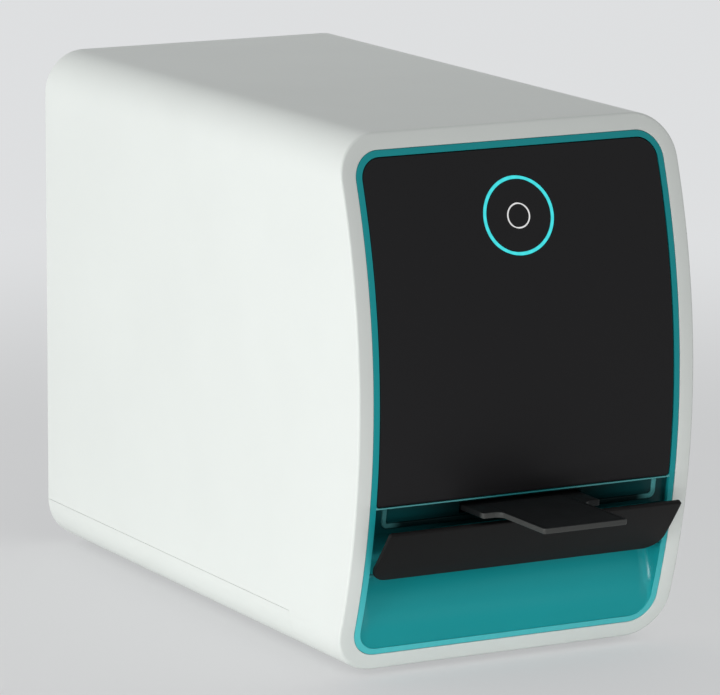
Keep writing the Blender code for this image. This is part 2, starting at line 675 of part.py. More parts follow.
def build_bezel():
    """One moulding: the coloured band, the glass's seat, the slot wall and the bay under it."""
    plug, flange = case_outline(BEZEL_INSET), case_outline(WALL + SEAT_GAP)
    deepest = bow(BASE + BEZEL_INSET, FLANGE_DEPTH) + BEZEL_SKIN
    rings = [
        bowed_ring(case_outline(BEZEL_INSET + FRONT_EDGE)),
        bowed_ring(plug, FRONT_EDGE),
        bowed_ring(plug, RIM_DEPTH + SEAT_GAP),
        bowed_ring(flange, RIM_DEPTH + SEAT_GAP),
        bowed_ring(flange, FLANGE_DEPTH),
        bowed_ring(plug, FLANGE_DEPTH),
        flat_ring(plug, deepest),
    ]
    bezel = add_part("front_bezel", loft(rings, "rows"), "teal_plastic")

    # The glass's pocket opens forward, and the back is relieved to a skin behind it.
    half = CASE_WIDTH / 2 - INNER_INSET
    top = TOP - INNER_INSET
    corner = CASE_CORNER - INNER_INSET
    pocket = outline(half, GLASS_LOW - SEAT_GAP, top, GLASS_LOW_CORNER + SEAT_GAP, corner)
    rings = [bowed_ring(pocket, -OVERRUN), bowed_ring(pocket, GLASS_THICKNESS + SEAT_GAP)]
    combine(bezel, add_cutter("cut_glass_pocket", loft(rings, "rows")))

    slab = BAY_CEILING + BEZEL_SKIN
    skin = GLASS_THICKNESS + SEAT_GAP + BEZEL_SKIN
    lip = FLANGE_DEPTH + BEZEL_SKIN / 2
    inner = outline(half, slab, top, GLASS_LOW_CORNER, corner)
    wide = outline(CASE_WIDTH / 2, slab + BEZEL_SKIN, TOP, GLASS_LOW_CORNER, CASE_CORNER)
    for name, section, start in (("cut_behind_glass", inner, skin), ("cut_behind_flange", wide, lip)):
        rings = [bowed_ring(section, start), flat_ring(section, deepest + OVERRUN)]
        combine(bezel, add_cutter(name, loft(rings, "rows")))

    # The bay is what the sill, the back wall, the ceiling and the slot wall enclose.
    foot = BASE + INNER_INSET
    wall_top = GLASS_LOW + GLASS_LOW_CORNER
    sill = [(chute(z), z) for z in heights(foot, BAY_CEILING, SILL_ROWS)]
    wall = [(bow(z, BAY_WALL_DEPTH), z) for z in heights(BAY_CEILING, wall_top, SLOT_WALL_ROWS)]
    before = FRONT - OVERRUN
    bay = add_cutter("cut_bay", prism([(before, foot)] + sill + wall + [(before, wall_top)], half))
    section = outline(half, foot, top, corner, corner)
    kept = loft([flat_ring(section, before - OVERRUN), flat_ring(section, deepest)])
    combine(bay, add_cutter("keep_bay", kept), "INTERSECT")
    combine(bezel, bay)

    start = foot + BEZEL_SKIN
    under = [(chute(z) + BEZEL_SKIN, z) for z in heights(start, BAY_CEILING, SKIN_ROWS)]
    behind = deepest + OVERRUN
    hollow = prism([(behind, start)] + under + [(behind, BAY_CEILING)], half)
    combine(bezel, add_cutter("cut_under_sill", hollow))

    low = (-SLOT_HALF_WIDTH, FRONT - OVERRUN, TRAY_LOW - SLOT_CLEARANCE)
    slot = block(low, (SLOT_HALF_WIDTH, deepest, TRAY_TOP + SLOT_CLEARANCE))
    combine(bezel, add_cutter("cut_slot", slot))
    groove = seal_strip(SEAL_THICKNESS + SEAT_GAP, RING_GAP)
    combine(bezel, add_cutter("cut_seal_groove", groove))
    reach = half + HINGE_ROD_SEAT + SEAT_GAP
    hole = rod(hinge_place(), "X", -reach, reach, HINGE_ROD_RADIUS + RUNNING_GAP)
    combine(bezel, add_cutter("cut_hinge_seat", hole))
    add_part("light_seal", seal_strip(SEAL_THICKNESS, 0), "pale_seal")
    return deepest


def key_lean():
    """How far the bowed front leans from upright at the touch key."""
    return math.asin((KEY_Z - MIDDLE) / BOW_RADIUS)


def glass_ring(radius, band, proud, grow):
    """A ring that lies in the bowed glass, or the groove that takes it."""

    def circle(size, behind):
        ring = []
        for step in range(FINE_STEPS):
            angle = 2 * math.pi * step / FINE_STEPS
            z = KEY_Z + size * math.sin(angle) * math.cos(key_lean())
            ring.append((size * math.cos(angle), bow(z, behind), z))
        return ring

    outer, inner, back = radius + grow, radius - band - grow, RING_THICKNESS + grow
    places = ((outer, -proud), (outer, back), (inner, back), (inner, -proud))
    return loft([circle(size, behind) for size, behind in places], "joined")


def build_glass():
    half = CASE_WIDTH / 2 - INNER_INSET - SEAT_GAP
    corner = CASE_CORNER - INNER_INSET - SEAT_GAP
    section = outline(half, GLASS_LOW, TOP - INNER_INSET - SEAT_GAP, GLASS_LOW_CORNER, corner)
    pane = loft([bowed_ring(section), bowed_ring(section, GLASS_THICKNESS)], "rows")
    glass = add_part("front_glass", pane, "black_glass")
    for name, radius, band, finish in (
        ("light_ring", RING_RADIUS, RING_BAND, "ring_light"),
        ("touch_ring", TOUCH_RADIUS, TOUCH_BAND, "key_light"),
    ):
        combine(glass, add_cutter(f"cut_{name}", glass_ring(radius, band, OVERRUN, RING_GAP)))
        add_part(name, glass_ring(radius, band, 0, 0), finish)

    # The key's board leans with the bow, right behind the bezel's skin.
    sag = KEY_BOARD_HEIGHT**2 / (8 * BOW_RADIUS)
    half_thickness = BOARD_THICKNESS / 2 / math.cos(key_lean())
    behind = GLASS_THICKNESS + BEZEL_SKIN + SEAT_GAP + SEAT_GAP + sag + half_thickness
    size = (KEY_BOARD_WIDTH / 2, BOARD_THICKNESS / 2, KEY_BOARD_HEIGHT / 2)
    board = block([-value for value in size], size)
    centre = Vector((0, bow(KEY_Z, behind), KEY_Z))
    place = Matrix.Translation(centre) @ Matrix.Rotation(-key_lean(), 4, "X")
    bmesh.ops.transform(board, matrix=place, verts=board.verts[:])
    add_part("key_board", board, "circuit_board")


def build_flap():
    """Drawn shut against the bow, then turned open about its rod."""
    pivot = hinge_place()
    half = CASE_WIDTH / 2 - INNER_INSET - FLAP_SIDE_GAP
    low, high = BASE + FLAP_LOW_HEIGHT, GLASS_LOW - FLAP_TOP_DROP
    section = outline(half, low, high, FLAP_LOW_CORNER, FLAP_TOP_CORNER)
    panel = loft([bowed_ring(section), bowed_ring(section, FLAP_THICKNESS)], "rows")
    flap = add_part("flap_door", panel, "black_plastic", pivot)
    reach = half - FLAP_LOW_CORNER
    barrel = add_cutter("join_flap_barrel", rod(pivot, "X", -reach, reach, BARREL_RADIUS))
    through = reach + OVERRUN
    bore = rod(pivot, "X", -through, through, HINGE_ROD_RADIUS + RUNNING_GAP)
    bore = add_cutter("cut_flap_bore", bore)
    combine(flap, barrel, "UNION")
    combine(flap, bore)
    for piece in (barrel, bore):
        piece.data.transform(Matrix.Translation(-Vector(pivot)))
        piece.parent = flap
    flap.rotation_euler.x = math.radians(FLAP_OPEN_DEG)
    reach = CASE_WIDTH / 2 - INNER_INSET + HINGE_ROD_SEAT
    add_part("flap_rod", rod(pivot, "X", -reach, reach, HINGE_ROD_RADIUS), "dark_steel")


def build_tray(carriage_front):
    """The tongue that a plate lies on, wider where it rides on the carriage, and its magnet pad."""
    pivot = (0, carriage_front, RAIL_Z)
    tip = FRONT - TRAY_REACH

    def tray_ring(z, inset):
        """The tray's outline at one height, moved in by an inset all round."""
        corner, fillet = TRAY_CORNER - inset, TRAY_FILLET + inset
        shoulder = tip + TONGUE_LENGTH
        narrow, wide = TONGUE_WIDTH / 2, TRAY_WIDTH / 2
        right = arc(narrow - TRAY_CORNER, tip + TRAY_CORNER, corner, -90, 0, TRAY_CORNER_STEPS)
        right += arc(narrow + TRAY_FILLET, shoulder - TRAY_FILLET, fillet, 180, 90, CORNER_STEPS)
        right += arc(wide - TRAY_CORNER, shoulder + TRAY_CORNER, corner, -90, 0, TRAY_CORNER_STEPS)
        right.append((wide - inset, carriage_front + CARRIAGE_LENGTH - inset))
        return [(x, y, z) for x, y in right] + [(-x, y, z) for x, y in reversed(right)]

    levels = (
        (TRAY_LOW, TRAY_EDGE),
        (TRAY_LOW + TRAY_EDGE, 0),
        (TRAY_TOP - TRAY_EDGE, 0),
        (TRAY_TOP, TRAY_EDGE),
    )
    tray = add_part("plate_tray", loft([tray_ring(*level) for level in levels]), "grey_tray", pivot)
    pad_half = TONGUE_WIDTH / 2 - PAD_BORDER
    low = (-pad_half, tip + PAD_BORDER, TRAY_TOP - PAD_SUNK)
    high = (pad_half, tip + PAD_BORDER + PAD_LENGTH, TRAY_TOP + OVERRUN)
    combine(tray, add_cutter("cut_pad_seat", block(low, high)))
    low = [value + RING_GAP for value in low]
    high = (pad_half - RING_GAP, tip + PAD_BORDER + PAD_LENGTH - RING_GAP, TRAY_TOP)
    add_part("magnet_pad", block(low, high), "black_pad", pivot)


def build_drive(carriage_front, stand_back, rear_stand_front):
    """Carriage on two rods, moved by a lead screw that the motor turns."""
    rail_x = RAIL_SPACING / 2
    carriage_back = carriage_front + CARRIAGE_LENGTH
    half = CARRIAGE_WIDTH / 2
    low = (-half, carriage_front, CARRIAGE_TOP - CARRIAGE_THICKNESS)
    pivot = (0, carriage_front, RAIL_Z)
    body = block(low, (half, carriage_back, CARRIAGE_TOP), CARRIAGE_EDGE)
    carriage = add_part("tray_carriage", body, "black_plastic", pivot)
    middle = (0, (carriage_front + carriage_back) / 2, RAIL_Z)
    reach = CARRIAGE_LENGTH / 2 + OVERRUN
    bores = (("left", -rail_x, RAIL_RADIUS), ("nut", 0, NUT_RADIUS), ("right", rail_x, RAIL_RADIUS))
    for name, x, radius in bores:
        bore = rod((x, middle[1], middle[2]), "Y", -reach, reach, radius + RUNNING_GAP)
        combine(carriage, add_cutter(f"cut_carriage_{name}", bore))

    bore = SCREW_SHAFT_RADIUS + RUNNING_GAP
    profile = [
        (-NUT_LENGTH, bore),
        (-NUT_LENGTH, NUT_RADIUS),
        (SEAT_GAP, NUT_RADIUS),
        (SEAT_GAP, NUT_FLANGE_RADIUS),
        (SEAT_GAP + NUT_FLANGE_THICKNESS, NUT_FLANGE_RADIUS),
        (SEAT_GAP + NUT_FLANGE_THICKNESS, bore),
    ]
    nut = turned(profile, (0, carriage_back, RAIL_Z), "Y", hollow=True)
    add_part("drive_nut", nut, "brass", pivot)

    rail_start = stand_back - STAND_THICKNESS
    rail_end = rear_stand_front + STAND_THICKNESS
    for side, x in (("left", -rail_x), ("right", rail_x)):
        rail = rod((x, 0, RAIL_Z), "Y", rail_start + SEAT_GAP, rail_end - SEAT_GAP, RAIL_RADIUS)
        add_part(f"guide_rod_{side}", rail, "steel")
    stands = (
        ("front_stand", rail_start, SCREW_JOURNAL_RADIUS),
        ("rear_stand", rear_stand_front, SCREW_SHAFT_RADIUS),
    )
    for name, front, screw_radius in stands:
        low = (-STAND_WIDTH / 2, front, CHASSIS_TOP + SEAT_GAP)
        high = (STAND_WIDTH / 2, front + STAND_THICKNESS, RAIL_Z + CARRIAGE_THICKNESS / 2)
        stand = add_part(name, block(low, high, CARRIAGE_EDGE), "aluminium")
        through = (-OVERRUN, STAND_THICKNESS + OVERRUN)
        holes = (("left", -rail_x, RAIL_RADIUS), ("screw", 0, screw_radius), ("right", rail_x, RAIL_RADIUS))
        for place, x, radius in holes:
            hole = rod((x, front, RAIL_Z), "Y", *through, radius + RUNNING_GAP)
            combine(stand, add_cutter(f"cut_{name}_{place}", hole))

    motor_front = rear_stand_front + STAND_THICKNESS + SEAT_GAP
    screw_end = motor_front + MOTOR_BORE_DEPTH - SEAT_GAP
    profile = [
        (rail_start + SEAT_GAP, SCREW_JOURNAL_RADIUS),
        (stand_back + SEAT_GAP, SCREW_JOURNAL_RADIUS),
        (stand_back + SEAT_GAP, SCREW_SHAFT_RADIUS),
        (screw_end, SCREW_SHAFT_RADIUS),
    ]
    add_part("lead_screw", turned(profile, (0, 0, RAIL_Z), "Y"), "steel", (0, stand_back, RAIL_Z))

    half = MOTOR_SIZE / 2
    high = (half, motor_front + MOTOR_LENGTH, RAIL_Z + half)
    body = block((-half, motor_front, RAIL_Z - half), high)
    long_edges = [edge for edge in body.edges if edge.verts[0].co.y != edge.verts[1].co.y]
    rounding = {"offset": MOTOR_EDGE, "segments": MOTOR_EDGE_STEPS, "profile": ROUND_SHARE}
    bmesh.ops.bevel(body, geom=long_edges, affect="EDGES", **rounding)
    motor = add_part("stepper_motor", body, "black_alloy")
    bore = SCREW_SHAFT_RADIUS + RUNNING_GAP
    hole = rod((0, motor_front, RAIL_Z), "Y", -OVERRUN, MOTOR_BORE_DEPTH, bore)
    combine(motor, add_cutter("cut_motor_bore", hole))

    width, depth, height = HOME_SWITCH_SIZE
    start_x = (RAIL_SPACING / 2 - width) / 2
    front = stand_back + SEAT_GAP
    low = (start_x, front, RAIL_Z - height / 2)
    high = (start_x + width, front + depth, RAIL_Z + height / 2)
    add_part("home_switch", block(low, high), "black_plastic")


def build_chassis(stand_back):
    """The plate on the pan's floor, and the deck that four posts hold over the tray's path."""
    half = INNER_WIDTH / 2
    low = (-half, stand_back - STAND_THICKNESS, CHASSIS_LOW)
    high = (half, LEDGE_FACE - LEDGE_THICKNESS - CHASSIS_BACK_GAP, CHASSIS_TOP)
    add_part("chassis_plate", block(low, high), "aluminium")
    slab = block((-half, DECK_FRONT, DECK_LOW), (half, DECK_BACK, DECK_TOP))
    deck = add_part("optics_deck", slab, "black_alloy")
    half_window, half_line = SCAN_WINDOW_WIDTH / 2, SCAN_WINDOW_LENGTH / 2
    low = (-half_line, SCAN_Y - half_window, DECK_LOW - OVERRUN)
    window = block(low, (half_line, SCAN_Y + half_window, DECK_TOP + OVERRUN))
    combine(deck, add_cutter("cut_scan_window", window))
    number = 0
    for x in (-half + POST_INSET, half - POST_INSET):
        for y in (DECK_FRONT + POST_INSET, DECK_BACK - POST_INSET):
            number += 1
            ends = (CHASSIS_TOP + SEAT_GAP, DECK_LOW - SEAT_GAP)
            post = rod((x, y, 0), "Z", *ends, POST_RADIUS, POST_SIDES)
            add_part(f"deck_post_{number}", post, "steel")


def build_scan_head():
    """Laser, scan mirror and its motor, lens, and the fold mirror over the scan window."""
    seat = DECK_TOP + SEAT_GAP
    length = -LASER_END_GAP - LASER_X
    block_x = LASER_X + length / 2
    half_block = LASER_BLOCK_WIDTH / 2
    low = (block_x - half_block, LASER_Y - LASER_BLOCK_LENGTH / 2, seat)
    crown = BEAM_Z + LASER_RADIUS + LASER_BLOCK_CROWN
    high = (block_x + half_block, LASER_Y + LASER_BLOCK_LENGTH / 2, crown)
    mount = add_part("laser_block", block(low, high, CARRIAGE_EDGE), "black_alloy")
    reach = half_block + OVERRUN
    bore = rod((block_x, LASER_Y, BEAM_Z), "X", -reach, reach, LASER_RADIUS + SEAT_GAP)
    combine(mount, add_cutter("cut_laser_seat", bore))
    laser = rod((LASER_X, LASER_Y, BEAM_Z), "X", 0, length, LASER_RADIUS)
    add_part("laser_module", laser, "brass")

    galvo = rod((0, LASER_Y, seat), "Z", 0, GALVO_HEIGHT, GALVO_RADIUS)
    add_part("galvo_motor", galvo, "black_alloy")
    pivot = (0, LASER_Y, seat + GALVO_HEIGHT + SEAT_GAP)
    hub = rod(pivot, "Z", 0, MIRROR_HUB_HEIGHT, MIRROR_HUB_RADIUS)
    mirror = add_part("scan_mirror", hub, "mirror", pivot)
    half_size = (SCAN_MIRROR_WIDTH / 2, SCAN_MIRROR_THICKNESS / 2, SCAN_MIRROR_HEIGHT / 2)
    plate = block([-value for value in half_size], half_size)
    rise = MIRROR_HUB_HEIGHT + SCAN_MIRROR_HEIGHT / 2 - SEAT_GAP
    turn = Matrix.Rotation(math.radians(FOLD_DEG), 4, "Z")
    bmesh.ops.transform(plate, matrix=Matrix.Translation((0, 0, rise)) @ turn, verts=plate.verts[:])
    plate = add_cutter("join_mirror_plate", plate)
    plate.parent = mirror
    combine(mirror, plate, "UNION")

    lens_y = SCAN_Y + (LASER_Y - SCAN_Y) * LENS_PLACE_SHARE
    half_lens = LENS_WIDTH / 2
    front, back = [], []
    for step in range(LENS_STEPS + 1):
        share = 2 * step / LENS_STEPS - 1
        bulge = LENS_BULGE * (1 - share**2)
        front.append((share * half_lens, lens_y - LENS_EDGE_THICKNESS / 2 - bulge))
        back.append((share * half_lens, lens_y + LENS_EDGE_THICKNESS / 2))
    points = front + [back[-1], back[0]]
    levels = (seat, BEAM_Z + LENS_HEIGHT / 2)
    add_part("scan_lens", loft([[(x, y, z) for x, y in points] for z in levels]), "lens_glass")

    # The fold mirror turns the beam down, and its bracket's sloped face lies behind it.
    half_width = FOLD_MIRROR_WIDTH / 2
    turn = Matrix.Rotation(math.radians(FOLD_DEG), 3, "X")
    along, normal = turn @ Vector((0, 1, 0)), turn @ Vector((0, 0, 1))
    centre = Vector((0, SCAN_Y, BEAM_Z))

    def on_slope(run, off):
        point = centre + along * run + normal * off
        return (point.y, point.z)

    run = FOLD_MIRROR_LENGTH / 2
    thickness = FOLD_MIRROR_THICKNESS
    face = [on_slope(-run, 0), on_slope(run, 0), on_slope(run, thickness), on_slope(-run, thickness)]
    add_part("fold_mirror", prism(face, half_width), "mirror")
    leg = DECK_FRONT + SEAT_GAP
    inner_leg = leg + BRACKET_LEG
    low_slope = on_slope(-run, thickness + SEAT_GAP)
    high_slope = on_slope(run, thickness + SEAT_GAP)
    points = [
        (leg, seat),
        (inner_leg, seat),
        (inner_leg, low_slope[1]),
        low_slope,
        high_slope,
        (high_slope[0], BRACKET_TOP),
        (leg, BRACKET_TOP),
    ]
    add_part("mirror_bracket", prism(points, half_width), "black_alloy")


def build_detector():
    """Light guide from the scan line to the photomultiplier, its clamp and the erase lamp."""
    tube_y = FRONT + TUBE_START_DEPTH
    tube = rod((0, tube_y, TUBE_Z), "Y", 0, TUBE_LENGTH, TUBE_RADIUS, TUBE_STEPS)
    add_part("photomultiplier", tube, "tube_shield")

    mouth_y = SCAN_Y + SCAN_WINDOW_WIDTH / 2
    mouth_z = TRAY_TOP + GUIDE_MOUTH_CLEARANCE
    lean = math.atan2(TUBE_Z - mouth_z, tube_y - mouth_y)
    half_width, half_thick = GUIDE_MOUTH_WIDTH / 2, GUIDE_MOUTH_THICKNESS / 2
    start = Vector((0, mouth_y + half_thick * math.sin(lean), mouth_z + half_thick * math.cos(lean)))
    end = Vector((0, tube_y - SEAT_GAP, TUBE_Z))
    rings = []
    for level in range(GUIDE_LEVELS + 1):
        share = level / GUIDE_LEVELS
        width = half_width + (GUIDE_EXIT_RADIUS - half_width) * share
        thick = half_thick + (GUIDE_EXIT_RADIUS - half_thick) * share
        power = GUIDE_SQUARENESS_SHARE + (1 - GUIDE_SQUARENESS_SHARE) * share
        tilt = lean * (1 - share)
        centre = start.lerp(end, share)
        ring = []
        for step in range(GUIDE_STEPS):
            angle = 2 * math.pi * (step + 0.5) / GUIDE_STEPS
            c, s = math.cos(angle), math.sin(angle)
            x = width * math.copysign(abs(c) ** power, c)
            off = thick * math.copysign(abs(s) ** power, s)
            ring.append(centre + Vector((x, -off * math.sin(tilt), off * math.cos(tilt))))
        rings.append(ring)
    add_part("light_guide", loft(rings), "clear_acrylic")

    clamp_y = FRONT + CLAMP_START_DEPTH
    half = CLAMP_WIDTH / 2
    low = (-half, clamp_y, TUBE_Z - TUBE_RADIUS - CLAMP_SOLE)
    high = (half, clamp_y + CLAMP_LENGTH, DECK_LOW - SEAT_GAP)
    clamp = add_part("tube_clamp", block(low, high, CARRIAGE_EDGE), "black_alloy")
    through = (-OVERRUN, CLAMP_LENGTH + OVERRUN)
    bore = rod((0, clamp_y, TUBE_Z), "Y", *through, TUBE_RADIUS + SEAT_GAP, TUBE_STEPS)
    combine(clamp, add_cutter("cut_tube_seat", bore))

    lamp_low = TRAY_TOP + LAMP_CLEARANCE
    low = (-LAMP_WIDTH / 2, clamp_y - SEAT_GAP - LAMP_LENGTH, lamp_low)
    high = (LAMP_WIDTH / 2, clamp_y - SEAT_GAP, lamp_low + LAMP_THICKNESS)
    add_part("erase_lamp", block(low, high, TRAY_EDGE), "lamp_white")


def build_electronics():
    """The main board on posts over the deck, with the supply's converter on it."""
    half = INNER_WIDTH / 2
    front, back = FRONT + BOARD_START_DEPTH, BACK - BOARD_BACK_ROOM
    board_top = BOARD_LOW + BOARD_THICKNESS
    board = block((-half, front, BOARD_LOW), (half, back, board_top))
    add_part("main_board", board, "circuit_board")
    number = 0
    for x in (-half + BOARD_POST_INSET, half - BOARD_POST_INSET):
        for y in (front + BOARD_POST_INSET, DECK_BACK - POST_INSET):
            number += 1
            ends = (DECK_TOP + SEAT_GAP, BOARD_LOW - SEAT_GAP)
            post = rod((x, y, 0), "Z", *ends, BOARD_POST_RADIUS, POST_SIDES)
            add_part(f"board_post_{number}", post, "steel")
    width, length, height = SUPPLY_SIZE
    low = (-width / 2, back - BOARD_POST_INSET - length, board_top + SEAT_GAP)
    converter = block(low, (width / 2, low[1] + length, low[2] + height), SUPPLY_EDGE)
    add_part("power_converter", converter, "aluminium")


def main():
    for obj in list(bpy.data.objects):
        bpy.data.objects.remove(obj, do_unlink=True)
    shell, pan = build_case()
    build_feet(pan)
    panel = build_rear_panel(shell, pan)
    build_power_switch(panel)
    build_power_jack(panel)
    build_data_port(panel)
    bezel_back = build_bezel()
    build_glass()
    build_flap()
    stand_back = bezel_back + SEAT_GAP + STAND_THICKNESS
    carriage_front = stand_back + CARRIAGE_HOME_GAP
    rear_stand_front = BACK - DRIVE_BACK_ROOM - MOTOR_LENGTH - SEAT_GAP - STAND_THICKNESS
    build_tray(carriage_front)
    build_drive(carriage_front, stand_back, rear_stand_front)
    build_chassis(stand_back)
    build_scan_head()
    build_detector()
    build_electronics()


main()
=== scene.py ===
"""Looks of a benchtop phosphor plate scanner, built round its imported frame.

Metres, +Z up, front facing -Y. Each operator below makes one piece of the scanner, or a group of like
pieces, from the sizes and colours in the panel's settings, and lets it ride on the body that carries it.
A depth is measured back from the bowed front, and an inset in from the case's outline.
"""

import math

import bmesh
import bpy
from bpy.props import FloatProperty, FloatVectorProperty, IntProperty, PointerProperty
from mathutils import Matrix, Vector


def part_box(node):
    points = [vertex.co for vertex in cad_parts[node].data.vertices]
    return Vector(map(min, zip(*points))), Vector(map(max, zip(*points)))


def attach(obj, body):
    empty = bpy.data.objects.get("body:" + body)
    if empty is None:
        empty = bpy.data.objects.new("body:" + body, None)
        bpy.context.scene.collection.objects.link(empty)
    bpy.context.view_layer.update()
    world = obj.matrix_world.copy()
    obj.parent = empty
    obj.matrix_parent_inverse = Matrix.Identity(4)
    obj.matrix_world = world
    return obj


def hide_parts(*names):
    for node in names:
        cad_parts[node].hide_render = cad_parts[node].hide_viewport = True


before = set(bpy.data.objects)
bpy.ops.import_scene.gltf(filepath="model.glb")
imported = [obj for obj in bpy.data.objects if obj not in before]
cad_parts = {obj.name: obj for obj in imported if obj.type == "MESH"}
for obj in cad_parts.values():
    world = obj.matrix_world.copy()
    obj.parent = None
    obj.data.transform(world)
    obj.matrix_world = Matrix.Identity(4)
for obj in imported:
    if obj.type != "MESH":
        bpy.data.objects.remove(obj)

bl_info = {
    "name": "Plate scanner",
    "version": (1, 0, 0),
    "blender": (4, 5, 0),
    "location": "View3D > Sidebar > Scanner",
    "description": "Builds the looks of a benchtop phosphor plate scanner round its frame",
    "category": "Object",
}

# Case, as the frame has it
CASE_LOW, CASE_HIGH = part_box("outer_shell")
FRONT, BACK = CASE_LOW.y, CASE_HIGH.y
BASE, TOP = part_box("base_pan")[0].z, CASE_HIGH.z
MIDDLE = (BASE + TOP) / 2
HALF_WIDTH = (CASE_HIGH.x - CASE_LOW.x) / 2
CASE_CORNER = 0.0153
BOW_RISE = 0.0187
BOW_RADIUS = (((TOP - BASE) / 2) ** 2 + BOW_RISE**2) / (2 * BOW_RISE)
WALL = 0.003
RIM_WIDTH = 0.00565
RIM_DEPTH = 0.008
LEDGE_WIDTH = 0.009
LEDGE_THICKNESS = 0.005
SEAM_HEIGHT = 0.0153
PAN_START_DEPTH = 0.050
GAP = 0.0003  # between pieces that seat on each other
SEAM = 0.00012  # what shows of a gap between two outside pieces
END_SEAM = 0.00005
OVERRUN = 0.004  # how far a cutter runs past what it cuts

# Front
BEZEL_INSET = RIM_WIDTH + SEAM
BEZEL_EDGE = 0.00025
INNER_INSET = 0.00793
INNER_HALF = HALF_WIDTH - INNER_INSET
INNER_CORNER = CASE_CORNER - INNER_INSET
INNER_LOW, INNER_TOP = BASE + INNER_INSET, TOP - INNER_INSET
FLANGE_DEPTH = 0.0103
BEZEL_SKIN = 0.002
GLASS_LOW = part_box("front_glass")[0].z
GLASS_THICKNESS = 0.003
GLASS_LOW_CORNER = 0.001
GLASS_EDGE = 0.00035
BAY_WALL_DEPTH = 0.0026
BAY_WALL_CORNER = 0.0004
BAY_CEILING = GLASS_LOW - 0.0099
BAY_BACK_DEPTH = 0.022
CHUTE_ROLL = 0.026
SLOT_HALF_WIDTH = 0.0237
SLOT_CLEARANCE = 0.0009
SEAL_HALF_WIDTH = 0.0533
SEAL_BAND = 0.0017
SEAL_PROUD = 0.0005
SEAL_THICKNESS = 0.0012
SEAL_LOW_DROP = 0.0083
SEAL_TOP_DROP = 0.0008
SEAL_CORNER = 0.0026
SEAL_EDGE = 0.0004
KEY_Z = 0.1553
RING_THICKNESS = 0.0008
RING_GAP = 0.0002
RING_CROWN = 0.00006

# Flap and tray
HINGE = Vector((0, -0.094622, 0.0372))
HINGE_ROD_RADIUS = 0.0006
HINGE_ROD_OVERHANG = 0.0011
BARREL_RADIUS = 0.0016
FLAP_LOW = BASE + 0.0339
FLAP_TOP = GLASS_LOW - 0.0018
FLAP_HALF_WIDTH = INNER_HALF - 0.0005
FLAP_THICKNESS = 0.0018
FLAP_LOW_CORNER = 0.0068
FLAP_TOP_CORNER = 0.0012
FLAP_OPEN = math.radians(28.0)
TRAY_LOW, TRAY_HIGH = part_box("plate_tray")
SHOULDER = TRAY_LOW.y + 0.029
TONGUE_HALF_WIDTH = 0.016
TRAY_FILLET = 0.0028
TRAY_CORNER = 0.001
PAD_EDGE = 0.00012
SCREW_Z = 0.04945  # the lead screw's axis, which lies over the middle of the case's width

# Back
PANEL_FACE = BACK - 0.0025
PANEL_BACK = PANEL_FACE - 0.002
PANEL_EDGE = 0.00025
VENTS_DROP = 0.0311  # from the case's top to the first row of vents
PORT_ROW = 0.047
SWITCH_X, JACK_X, PORT_X = -0.034, 0.006, 0.036
SWITCH_OPENING = (0.0156, 0.0216)
PORT_OPENING = (0.0126, 0.0116)
JACK_OPENING_RADIUS = 0.0058
SCREW_HOLE_RADIUS, SCREW_HOLE_DEPTH = 0.0018, 0.0058
HEAD_HEIGHT = 0.0015
SHANK_RADIUS = 0.0015
ROCKER_PIVOT = Vector((SWITCH_X, 0.136139, PORT_ROW))
ROCKER_LEAN = math.radians(9)
ROCKER_THICKNESS = 0.0045
ROCKER_EDGE = 0.0003

# Drawing


def bow(z, behind=0.0):
    """The y of the bowed front at height z, or of a surface that lies behind it."""
    return FRONT + BOW_RADIUS - math.sqrt(BOW_RADIUS**2 - (z - MIDDLE) ** 2) + behind


def spread(low, high, count):
    """Evenly spaced values from low to high, both included."""
    return [low + (high - low) * step / count for step in range(count + 1)]


def arc(centre_x, centre_y, radius, start, end, steps=10):
    """Points on a circle from one angle to another, in degrees."""
    turns = [math.radians(turn) for turn in spread(start, end, steps)]
    return [(centre_x + radius * math.cos(t), centre_y + radius * math.sin(t)) for t in turns]


def circle(centre_x, centre_y, radius, steps):
    turns = [2 * math.pi * step / steps for step in range(steps)]
    return [(centre_x + radius * math.cos(t), centre_y + radius * math.sin(t)) for t in turns]


def both_sides(right):
    """An outline's right half and then its mirror image, on the way back."""
    return right + [(-x, other) for x, other in reversed(right)]


def outline(half_width, low, high, low_corner, high_corner, inset=0.0, steps=14, rows=44):
    """A rounded rectangle as (x, z), moved in by the inset, up the right side and down the left."""
    half_width, low, high = half_width - inset, low + inset, high - inset
    low_corner, high_corner = low_corner - inset, high_corner - inset
    right = arc(half_width - low_corner, low + low_corner, low_corner, -90, 0, steps)
    right += arc(half_width - high_corner, high - high_corner, high_corner, 0, 90, steps)
    first, last = right[steps][1], right[steps + 1][1]
    right[steps + 1:steps + 1] = [(half_width, z) for z in spread(first, last, rows)[1:-1]]
    return both_sides(right)


def case_outline(inset):
    return outline(HALF_WIDTH, BASE, TOP, CASE_CORNER, CASE_CORNER, inset)


SQUARE = ((-1, -1), (1, -1), (1, 1), (-1, 1))


def square(half_x, half_z, radius, middle=(0, 0, 0), steps=5):
    """A rectangle as (x, z) about its middle, with each corner rounded."""
    corners = [Vector((half_x * x, half_z * z)) for x, z in SQUARE]
    points = []
    for i, corner in enumerate(corners):
        start = corner + (corners[i - 1] - corner).normalized() * radius
        end = corner + (corners[(i + 1) % 4] - corner).normalized() * radius
        for share in spread(0, 1, steps):
            x, z = start.lerp(corner, share).lerp(corner.lerp(end, share), share)
            points.append((middle[0] + x, middle[2] + z))
    return points


def rounding(radius, steps=5, inset=0.0, behind=0.0, outward=1):
    """(inset, behind) pairs round a front edge, from the front face to the side face."""
    end = -180 if outward > 0 else 0
    return arc(inset + outward * radius, behind + radius, radius, -90, end, steps)


def bowed(section, behind=0.0):
    return [(x, bow(z, behind), z) for x, z in section]


def flat(section, y):
    return [(x, y, z) for x, z in section]


